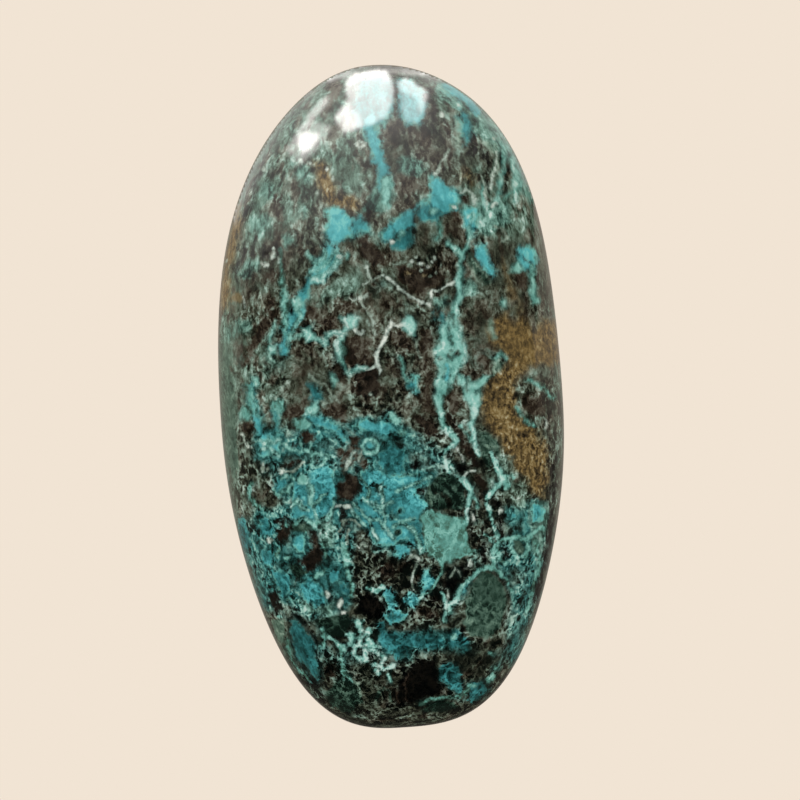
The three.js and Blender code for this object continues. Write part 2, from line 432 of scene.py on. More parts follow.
# The marks of the upper third, from the crown's bright end down to the two turquoise bodies.
UPPER: tuple[Mark, ...] = (
    Patch(T, 0.95, (-2.9+19.2j, -2.3+19.2j, -2.05+18.7j, -2.3+18.2j, -2.6+17.7j, -2.9+17.4j, -3.3+17.3j,
        -3.1+17.9j, -2.95+18.4j)),
    Vein(T, 0.3, (-7.15+13.75j, -7.6+13.2j, -7.8+12.6j, -8+12j, -8.1+11.3j), 0.2, 0.14),
    Vein(T, 0.75, (-6.4+12.3j, -6.35+11.3j, -6.5+9.7j), 0.32, 0.24),
    Spot(K, 0.6, (-7+13.9j,), 0.11),
    Spot(K, 0.6, (-6.6+13.85j,), 0.12),
    Spot(K, 0.9, (-6.65+9.1j,), 0.1),
    Spot(K, 0.95, (-6.75+8.6j,), 0.12),
    Spot(K, 0.85, (-6.4+8.4j,), 0.11, 1.4),
    # The next three white spots are painted glints at the ragged lower edge of the left glare, laid as
    # calcite.
    Spot(K, 0.9, (-4.85+14.3j,), 0.1, 1.5),
    Spot(K, 0.9, (-4.3+14.2j,), 0.12),
    Spot(K, 0.9, (-3.35+13.75j,), 0.1, 1.6),
    Spot(K, 0.8, (-2.95+13.2j,), 0.09, 1.8),
    Spot(K, 0.7, (-3.9+12.35j,), 0.1, 1.5),
    Spot(K, 0.7, (-3.25+16.1j,), 0.1),
    Vein(K, 0.9, (-1.5+15.1j, -1.15+15.4j, -0.95+15.15j, -1.2+14.9j, -1.5+15.1j), 0.13),
    Vein(T, 0.5, (-1.2+15.6j, -0.85+15.5j, -0.8+14.9j), 0.16),
    Spot(T, 0.3, (-0.85+13.9j,), 0.2),
    Patch(C, 0.72, (1.2+18.9j, 2+18.9j, 2.8+18.1j, 2.7+17j, 2.4+16.2j, 1.6+16.2j, 1.2+17j)),
    Patch(C, 0.55, (-1.5+16.2j, -1.5+17.5j, -1.2+19j, 0.3+19.3j, 0.95+18.6j, 0.85+17.2j, 0.2+16.3j,
        -0.5+16j)),
    Patch(C, 0.8, (4.1+18.1j, 4.6+18.5j, 5.2+18.2j, 5.8+17.6j, 6.1+17j, 5.5+16.9j, 5.1+17.4j)),
    Patch(C, 0.6, (4.7+17j, 5.3+16.6j, 5.55+15.5j, 5.1+15j, 4.7+15.8j)),
    Vein(S, 1.0, (4.7+16.3j, 4.65+15j), 0.35, 0.25),
    Spot(K, 0.9, (3.75+16.8j,), 0.13),
    Spot(T, 0.0, (3.78+16.4j,), 0.15),
    Vein(T, 0.6, (4+16.3j, 4.05+15.5j), 0.35),
    Patch(T, 0.75, (2.2+15.6j, 2.7+15.8j, 3.1+15.4j, 3.15+14.9j, 2.8+14.7j, 2.4+14.9j)),
    Vein(T, 0.5, (3.3+17.5j, 3.25+16.5j), 0.25),
    Patch(T, 0.95, (1+12.9j, 1.6+13.1j, 2.3+12.9j, 2.3+12.3j, 1.7+12j, 1.1+12.2j)),
    Vein(K, 0.7, (4+14.7j, 3.7+14.3j, 3.5+13.9j, 3.4+13.4j, 3.1+13.1j), 0.1, 0.16),
    Spot(T, 0.2, (5.45+14.7j,), 0.15, 2.0),
    Spot(K, 0.7, (5.8+14.4j,), 0.1),
    Spot(K, 0.9, (6.85+15.25j,), 0.12),
    Vein(M, 0.65, (7.6+14.6j, 7.95+13.7j, 8.2+13j, 8.25+12.2j), 0.18, 0.2),
    Vein(M, 0.35, (8.3+12.2j, 7.6+11.9j, 7.2+11.5j), 0.18, 0.12),
    Vein(S, 0.95, (6.3+15j, 6.9+14.1j, 6.6+13j), 0.16),
    Vein(S, 0.95, (6.9+14.8j, 7+13.6j, 6.7+12.6j), 0.14),
    Vein(M, 0.8, (7.3+14.9j, 7.44+13.9j, 7.15+13j, 6.98+12.1j, 6.75+11.3j), 0.13, 0.18),
    Vein(C, 1.0, (4+18.5j, 4.9+17.9j, 5.6+17.2j, 5.9+16.8j), 0.4),
    Spot(K, 0.95, (6.65+11.2j,), 0.15),
    Vein(T, 0.25, (6.1+14.7j, 6.45+13.5j, 6.2+12.2j), 0.16),
    Vein(T, 0.25, (7.15+14.3j, 7.35+12.9j, 7+11.7j), 0.15),
    Vein(K, 0.8, (6.95+14.4j, 6.75+13.1j, 6.4+12.1j), 0.13),
    Vein(K, 0.7, (5.95+13.1j, 6.07+12.4j, 6.18+11.3j), 0.12),
    Vein(T, 0.2, (7.65+14.2j, 7.5+12.8j, 7.3+11.9j), 0.15),
    Vein(M, 0.95, (7.9+14.1j, 8+13.3j, 8.05+12.5j, 7.85+11.4j), 0.17),
    Vein(M, 0.55, (5.9+12.3j, 5.95+11.6j, 6.1+11.1j), 0.2),
    Spot(T, 0.6, (5.05+11.6j,), 0.25),
    Vein(K, 0.75, (4.6+12j, 5+12.1j, 5.3+11.9j, 5.5+11.4j), 0.11),
    Vein(C, 0.88, (-0.6+16.6j, -0.5+15.8j, -0.35+15j, -0.12+14.1j, 0.1+13.3j, 0.2+12.6j), 0.78, 0.6),
    Vein(M, 0.65, (0.3+12.9j, 0.25+12.1j, 0.2+11.7j), 0.5, 0.4),
    Vein(M, 0.5, (0.35+11.7j, 0.35+11.2j), 0.16),
    Patch(C, 1.0, (-3.4+11.35j, -2.95+11.5j, -2.4+11.15j, -2+10.8j, -1.95+9.75j, -2.4+9.55j, -3.05+9.25j,
        -3.4+9.6j, -3.5+9.9j, -3.4+10.3j, -3.25+10.7j)),
    Patch(C, 0.78, (-2+10.8j, -1.6+10.7j, -1.35+10.95j, -1+10.6j, -0.95+9.9j, -1.6+9.85j, -1.95+9.75j)),
    Vein(C, 0.45, (-1.87+10.8j, -1.87+9.8j), 0.08),
    Patch(C, 0.88, (3+13.05j, 3.35+12.9j, 3.8+12.5j, 4.2+12.2j, 4.5+11.9j, 4.6+11.5j, 4.4+11.1j, 4+10.9j,
        3.5+10.7j, 3.1+11j, 2.7+11.4j, 2.9+12.2j, 2.85+12.7j)),
    Patch(C, 0.98, (3.6+12.2j, 4.3+12.1j, 4.5+11.6j, 4.2+11.2j, 3.6+11.3j, 3.4+11.8j)),
    Patch(C, 0.5, (2.8+11.6j, 3.3+11.1j, 3.5+10.75j, 3.2+10.4j, 2.7+10.45j, 2.2+10.5j, 1.9+10.9j,
        2.3+11.25j)),
    Vein(C, 0.95, (2+11.2j, 2.5+11.5j, 2.9+11.7j), 0.13),
    Spot(K, 0.95, (4.25+11.18j,), 0.15, 0.7),
    Spot(M, 0.8, (3+10.98j,), 0.12),
    Patch(C, 0.8, (0+9.9j, 0.5+10.4j, 1+10.85j, 1.8+11.1j, 1.85+10.7j, 1.7+10.1j, 1.2+9.9j, 0.7+9.7j,
        0.3+9.2j, -0.1+9.2j, -0.2+9.6j)),
    Patch(C, 0.4, (1.7+10.2j, 1.65+9j, 1+8.7j, 0.5+8.85j, 0.3+9.2j, 0.7+9.7j, 1.2+9.95j)),
    Spot(T, 0.3, (0.72+9.5j,), 0.14, 1.3),
    Spot(K, 1.0, (0.45+9.22j,), 0.11),
    Spot(M, 0.8, (1+9.75j,), 0.1),
    Patch(C, 0.95, (4.7+10.9j, 5+11.1j, 5.6+11.1j, 5.75+10.6j, 5.5+9.8j, 5.1+9.7j, 4.75+10.1j)),
    Vein(M, 0.9, (5+10.5j, 5.3+10.75j, 5.5+10.45j, 5.25+10.2j), 0.1),
    Vein(M, 0.7, (5.1+9.9j, 5.05+9.2j, 4.95+8.8j), 0.14),
    Vein(K, 0.5, (6.6+9.9j, 7+9.75j, 7.4+9.3j, 7.1+9j), 0.13),
    Patch(C, 1.0, (5.5+8.7j, 6+8.8j, 6.1+8.3j, 6.3+7.6j, 6.45+7.2j, 6.3+6.95j, 5.9+7.3j, 5.6+7.9j,
        5.4+8.4j)),
    Patch(C, 1.05, (8+8.5j, 8.5+8.7j, 9+8.4j, 9.05+7.8j, 8.9+7.4j, 8.3+7.4j, 7.9+7.7j)),
    Spot(T, 0.4, (8.35+7.95j,), 0.1),
    Spot(T, 0.4, (8.65+7.75j,), 0.09),
    Patch(M, 0.6, (7.9+7.8j, 8.2+7.3j, 7.9+7.1j, 7.5+7.2j, 7.5+7.5j)),
    Vein(M, 0.6, (8.8+7.5j, 8.8+6.8j, 8.75+6.4j, 8.8+5.9j, 8.95+5.3j), 0.25, 0.4),
    Patch(T, 0.75, (7.7+6.9j, 8.2+7.1j, 8.5+6.8j, 8.5+6.2j, 8.1+6j, 7.7+6.3j)),
    Spot(M, 0.6, (6.95+5.35j,), 0.1, 2.2),
    Patch(T, 0.75, (4.1+10.9j, 4.55+11j, 4.5+10.3j, 4.1+10.2j)),
    Vein(M, 0.4, (3.4+10.2j, 3.4+9.6j, 3.1+9.2j), 0.22),
    Patch(T, 0.75, (-1.6+9.5j, -1+9.7j, -0.6+9j, -0.1+8.6j, 0+7.9j, -0.8+7.8j, -1.4+8.4j)),
)

# The marks of the middle third: the branching pale veins, and the long one at the right.
MIDDLE: tuple[Mark, ...] = (
    Patch(T, 0.6, (0.4+7.7j, 1.1+7.8j, 1.9+7.5j, 2.9+7.4j, 3.7+6.9j, 2.6+6.4j, 2.3+5.9j, 1.5+6.3j,
        0.7+6.9j)),
    Spot(L, 0.8, (1.3+7.3j,), 0.2, 0.5),
    Spot(L, 0.8, (2.3+7.1j,), 0.12, 0.6),
    Spot(K, 0.9, (2.05+7.85j,), 0.11),
    Spot(K, 0.95, (2.45+7.6j,), 0.1),
    Spot(K, 0.8, (2.7+7.95j,), 0.1),
    Spot(K, 0.75, (2.95+8.2j,), 0.1),
    Spot(K, 0.7, (1.65+8.05j,), 0.09),
    Spot(K, 0.65, (2.95+7.35j,), 0.08),
    Spot(K, 0.7, (2.1+7.4j,), 0.09),
    Spot(K, 0.6, (2.6+7.05j,), 0.08),
    Spot(K, 0.6, (1.9+8.3j,), 0.08),
    Spot(K, 0.55, (3.3+7.75j,), 0.08),
    Patch(C, 0.85, (-3.4+9.3j, -2.9+9.1j, -2.75+8.7j, -3+8.1j, -3.4+7.5j, -3.9+7.05j, -4.4+7j, -4.75+7j,
        -4.5+7.6j, -3.9+8.1j, -3.55+8.5j)),
    Vein(M, 0.95, (-2.95+8.9j, -2.8+8.5j, -3+8.1j, -3.3+7.6j, -3.9+7.15j, -4.4+7.2j), 0.2, 0.3),
    Vein(M, 0.8, (-3.5+8.9j, -3.7+8.4j, -4.2+7.9j, -4.6+7.4j), 0.16),
    Vein(M, 0.7, (-3.1+8.7j, -3.5+8.1j, -4.1+7.6j), 0.14),
    Spot(K, 0.9, (-2.8+8.5j,), 0.14),
    Spot(M, 0.7, (-2.25+8.55j,), 0.14),
    Vein(M, 0.8, (-4.7+8.65j, -4.35+8.35j, -4.15+7.95j), 0.16),
    Vein(C, 0.68, (-4.7+7.1j, -4.85+6.6j, -5.1+6.05j), 0.4, 0.45),
    Vein(C, 0.88, (-5.3+5.6j, -5.6+4.9j, -5.9+4.2j, -6.1+3.6j, -6.3+3j), 0.6, 0.35),
    Patch(M, 0.7, (-5.75+6j, -5.2+6.1j, -5.1+5.7j, -5.35+5.3j, -5.6+5.3j)),
    Vein(M, 0.7, (-5.3+5.3j, -5.5+4.6j, -5.8+4j, -6.1+3.3j), 0.2, 0.14),
    Vein(M, 0.55, (-6.3+9j, -6.25+8j, -6.2+7j, -6.1+6.3j), 0.14, 0.25),
    Patch(M, 0.65, (-6.4+6.5j, -5.9+6.3j, -5.9+5.6j, -6+5j, -6.3+5j, -6.3+5.7j)),
    Vein(M, 0.5, (-6.1+5j, -6.1+4.2j), 0.25, 0.15),
    Spot(T, 0.3, (-5.77+5.4j,), 0.13, 1.6),
    Vein(T, 0.35, (-9.1+7.9j, -8.4+9j), 0.2),
    Spot(T, 0.3, (-7.1+8.8j,), 0.18, 1.6),
    Vein(K, 0.95, (-7.45+8.3j, -7.2+8.05j, -7+8.2j), 0.12),
    Vein(K, 0.9, (-6.85+8.5j, -6.65+8.75j, -6.62+9.05j), 0.13),
    Patch(T, 0.75, (-7.3+7.8j, -6.5+7.9j, -6.6+6.8j, -7.2+7j)),
    Spot(K, 0.7, (-9.55+8.5j,), 0.1),
    Spot(L, 0.7, (-9+6.3j,), 0.3, 1.0),
    Vein(K, 0.85, (-8.6+6.3j, -8.5+5.8j), 0.12),
    Patch(T, 0.8, (-7.2+6.2j, -6.7+6.1j, -6.75+4.9j, -7.1+4.8j, -7.4+5.3j)),
    Spot(K, 0.6, (-6.9+5.45j,), 0.07),
    Vein(T, 0.85, (-7.35+4.7j, -7.8+3.9j, -8.3+3.2j, -8.5+2.4j), 0.75, 0.55),
    Vein(M, 0.6, (-6.75+4.75j, -6.85+4.2j, -7.1+3.6j), 0.14),
    Patch(M, 0.85, (-7.3+3.3j, -7+3.45j, -6.75+3.2j, -6.8+2.85j, -7.1+2.9j)),
    Patch(M, 1.0, (-5.15+4.3j, -4.5+4.35j, -4.3+3.55j, -4.95+3.4j)),
    Vein(M, 0.6, (-5.6+3.8j, -5+3.8j), 0.14),
    Vein(M, 1.0, (-4.4+3.6j, -3.9+3.4j, -3.6+3.85j, -3.2+3.95j, -2.85+3.85j, -2.6+4.1j, -2.4+4.4j), 0.3),
    Spot(M, 0.95, (-3.8+3.35j,), 0.18),
    Patch(M, 0.97, (-2.95+4.9j, -2.2+4.95j, -1.75+4.85j, -1.85+4.4j, -2.1+4.05j, -2.5+4.2j, -2.6+4.6j)),
    Vein(K, 0.9, (-2.1+4.1j, -1.9+3.85j, -1.65+3.8j, -1.5+4j), 0.17),
    Vein(M, 0.92, (-2.75+3.9j, -2.8+3.5j, -3.05+3.2j, -3.1+2.8j, -3+2.4j, -2.8+2.1j, -2.7+1.6j, -2.4+1.4j,
        -2.1+1.55j, -1.8+1.8j, -1.5+1.85j), 0.24, 0.17),
    Vein(M, 0.5, (-2.7+3.4j, -2.72+3j, -2.62+2.6j), 0.15),
    Spot(S, 0.3, (-2.72+2.75j,), 0.17, 1.4),
    Vein(K, 0.9, (-1.4+1.62j, -1.1+1.7j, -0.85+1.85j, -0.6+1.65j, -0.65+1.3j, -0.8+1.1j), 0.13),
    Vein(K, 0.95, (0.3+4.4j, 0+4j, -0.3+3.5j, -0.35+3.1j, -0.6+2.9j, -0.76+2.5j, -0.76+2.1j,
        -0.7+1.75j), 0.17, 0.22),
    Vein(K, 0.97, (0.2+4.4j, 0.75+4.25j, 1+4.35j), 0.14),
    Patch(M, 0.95, (0.9+4.5j, 1.2+4.75j, 1.6+4.5j, 1.65+3.9j, 1.5+3.5j, 1.2+3.7j, 1+4j)),
    Vein(K, 0.45, (1.45+3.4j, 1.75+2.8j, 1.85+2.3j), 0.12),
    Patch(T, 0.5, (-2.2+1.2j, -1.6+1.7j, -0.8+1.6j, -0.5+0.7j, -0.7-0.1j, -1.6-0.15j, -2.3+0.3j)),
    Spot(K, 0.7, (-1.12+0.1j,), 0.1),
    Patch(T, 0.88, (-2.4+3.5j, -1.7+3.6j, -0.95+3.5j, -0.95+2.1j, -1.4+2.05j, -2.4+2.2j)),
    Patch(T, 0.86, (-5+5.6j, -4.3+5.7j, -4.1+5j, -4.7+4.6j, -5.1+5j)),
    Patch(T, 1.05, (-4.3+4.9j, -3.1+5j, -3.1+4.3j, -3.6+4.2j, -4.1+4.3j)),
    Patch(T, 0.95, (-3.1+5.9j, -2+5.7j, -1.9+5.2j, -2.9+5.2j)),
    Vein(K, 0.8, (-2.2+5.9j, -1.6+5.87j, -1.1+6.02j), 0.14),
    Vein(K, 0.75, (-1.1+7.8j, -0.95+7.3j, -0.75+6.95j), 0.13),
    Vein(K, 0.75, (-1.4+6.8j, -0.75+6.92j, -0.2+7.25j), 0.12),
    Vein(K, 0.55, (-0.7+6.9j, -0.3+6.35j), 0.11),
    Vein(K, 0.55, (-1.5+5.6j, -1.1+4.9j, -0.9+4.3j, -0.8+3.7j), 0.11),
    Vein(K, 0.92, (0+7.1j, 0.4+6.75j, 0.65+6.4j, 1+6.1j, 1.6+5.75j, 1.95+5.45j, 2.5+5.45j), 0.13),
    Vein(K, 0.9, (2.62+5.75j, 2.66+6.2j, 3.1+6.3j, 3.6+6.5j, 4.3+6.58j), 0.12),
    Patch(T, 0.78, (0.1+4j, 0.85+3.95j, 1.3+3.3j, 1.5+2.8j, 0.9+2.6j, 0.3+3.1j)),
    Patch(T, 0.7, (1.9+3.9j, 2.7+4.1j, 2.7+3.3j, 2.4+2.6j, 2.2+2.2j, 1.9+2.9j)),
    Vein(M, 0.55, (0.7+2.2j, 0.8+1.5j, 1+0.9j), 0.2, 0.12),
    Spot(C, 0.35, (1.2+0.6j,), 0.25, 1.3),
    Vein(C, 0.9, (1.4+1.05j, 1.5+0.2j), 0.25),
    Vein(T, 0.75, (2.2+2j, 2.2+0.5j, 2.1-0.9j), 0.45),
    Vein(K, 0.5, (-4.85+1.5j, -4.4+1.05j, -4+0.9j, -3.65+0.45j, -3.3+0j, -3.05-0.3j), 0.11),
    Spot(M, 0.7, (-3.4+1.15j,), 0.16, 1.8),
    Vein(K, 0.5, (-4.6+0.5j, -4.3+0j, -3.9-0.2j), 0.1),
    Patch(M, 0.8, (-8.3+1.5j, -7.95+1.5j, -7.9+1.05j, -8.2+0.95j)),
    Vein(C, 0.82, (-8.45+0.9j, -8.35+0.2j, -8.15-0.5j, -8.1-1.1j), 0.24, 0.3),
    Vein(M, 0.6, (-8.45+0.8j, -8.25+0j, -8.05-0.8j), 0.12),
    Vein(K, 0.5, (-6+1.1j, -6.4+0.8j, -6.9+0.05j), 0.11),
    Patch(M, 0.4, (-7.2-0.1j, -6.7+0.1j, -6.5-0.6j, -7-0.7j)),
    Patch(C, 0.5, (-4.9+0.9j, -4.5+0.8j, -4.1+0.1j, -4.4-0.2j, -4.8+0.2j)),
    Patch(M, 0.85, (-5.1-0.5j, -4.7-0.2j, -4.3+0j, -4.3-0.5j, -4.7-1.1j, -5.1-1.2j)),
    Vein(M, 0.8, (5.05+9.8j, 5.05+9.1j, 4.85+8.7j, 4.6+8.3j, 4.5+7.7j, 4.42+7.1j, 4.4+6.6j), 0.2, 0.24),
    Vein(M, 0.75, (3.8+8.95j, 4.25+8.65j, 4.55+8.25j), 0.2, 0.3),
    Vein(S, 0.35, (4.95+8.4j, 5.4+7.4j, 6+6.6j), 0.4, 0.25),
    Vein(S, 0.85, (4.9+7.9j, 5.3+7.2j, 5.6+6.6j), 0.1),
    Vein(S, 0.85, (5.1+8.1j, 5.6+7.4j, 5.9+6.9j), 0.1),
    Vein(M, 0.78, (4.4+6.7j, 4.35+6.1j, 4.2+5.6j, 4.1+5.1j, 4.1+4.6j), 0.42, 0.25),
    Patch(M, 0.62, (3.15+4j, 3.35+4.1j, 3.6+4.9j, 4+5.1j, 4.15+4.5j, 4.2+3.8j, 4.35+3.3j, 4.45+2.4j,
        4.3+1.7j, 4+1.4j, 3.8+0.8j, 3.45+0.2j, 3.15-0.1j, 3.05-0.8j, 2.6-0.8j, 2.7+0.2j, 2.75+1j, 2.95+1.6j,
        2.7+2.3j, 2.65+2.6j, 3+3j, 3.1+3.8j)),
    Vein(T, 0.3, (3.62+4.8j, 3.6+4.1j, 3.68+3.5j, 3.62+3j), 0.17, 0.12),
    Vein(C, 0.35, (3+5.2j, 3.15+4.6j, 3.3+4.2j), 0.14),
    Vein(C, 0.3, (2.7+5j, 2.8+4.5j), 0.12),
    Vein(C, 0.92, (3.3+1.8j, 3.35+0.9j), 0.35),
    Vein(M, 0.92, (4.2+4j, 4.35+3.3j, 4.45+2.7j, 4.42+2j, 4.3+1.6j), 0.17),
    Vein(M, 0.88, (2.75+2.45j, 3.1+2.75j, 3.3+3.4j, 3.3+4.2j), 0.2, 0.14),
    Vein(M, 0.85, (2.85+1.2j, 2.75+0.4j, 2.75-0.5j), 0.16),
    Spot(T, 0.3, (3.92+2.35j,), 0.17),
    Vein(T, 0.35, (3.42+2.25j, 3.7+2.15j, 4.1+2.3j), 0.12),
    Vein(S, 0.2, (3.9+4.7j, 3.92+4j), 0.1),
    Vein(T, 0.35, (3.15+1.6j, 3.1+1j), 0.1),
    Vein(S, 0.2, (3.5+0.7j, 3.4-0.1j), 0.11),
    Spot(T, 0.3, (3.6+2.6j,), 0.1),
    Spot(T, 0.4, (3+2.15j,), 0.1, 0.7),
    Patch(M, 0.72, (4+1.4j, 4.35+1.1j, 4.6+0.6j, 5+0.55j, 5.5+0.95j, 6.1+0.98j, 5.7+0.6j, 5.35+0.3j,
        5.35-0.5j, 5.15-1.1j, 4.85-1.1j, 4.65-0.7j, 4.45-0.3j, 4.4+0.2j, 4.1+0.7j)),
    Vein(M, 0.92, (4.6+0.9j, 4.75+0.3j, 4.85-0.5j), 0.13),
    Spot(T, 0.25, (5.07-0.02j,), 0.13),
    Vein(T, 0.5, (4.55+0.5j, 4.65+0.1j), 0.13),
    Patch(S, 0.85, (6.2+2j, 6.65+2.2j, 6.9+1.9j, 6.6+1.5j, 6.2+1j, 6.05+1.4j)),
    Vein(M, 0.85, (6.3+1.95j, 6.65+2.27j, 7+1.97j), 0.13),
    Spot(T, 0.3, (6.75+1.93j,), 0.12),
    Vein(S, 0.95, (6.1+4.3j, 6.3+3.3j), 0.25),
    Patch(T, 0.85, (4.8+2.9j, 5.1+2.8j, 5+2j, 5.8+1.2j, 6+1.9j, 5.6+2.3j, 5.2+2.4j)),
    Patch(T, 0.88, (3.4+0j, 3.8+0.2j, 4.15-0.3j, 4.1-1j, 3.7-1.4j, 3.3-1j)),
    Vein(M, 0.4, (8.3+0.65j, 8.9+0.3j, 9.3+0j, 9.7-0.5j), 0.16, 0.3),
    Patch(T, 0.78, (8-0.3j, 8.6-0.1j, 9.2-0.6j, 9.1-1.5j, 8.4-1.6j, 8-1.2j)),
    Vein(M, 0.4, (7.5-1j, 7.8-1.4j, 7.95-1.9j), 0.13),
    Vein(M, 0.85, (7.95-1.75j, 8.1-2.02j, 8.5-2.08j), 0.24),
    Spot(K, 0.98, (9.22-2j,), 0.1, 2.2),
)

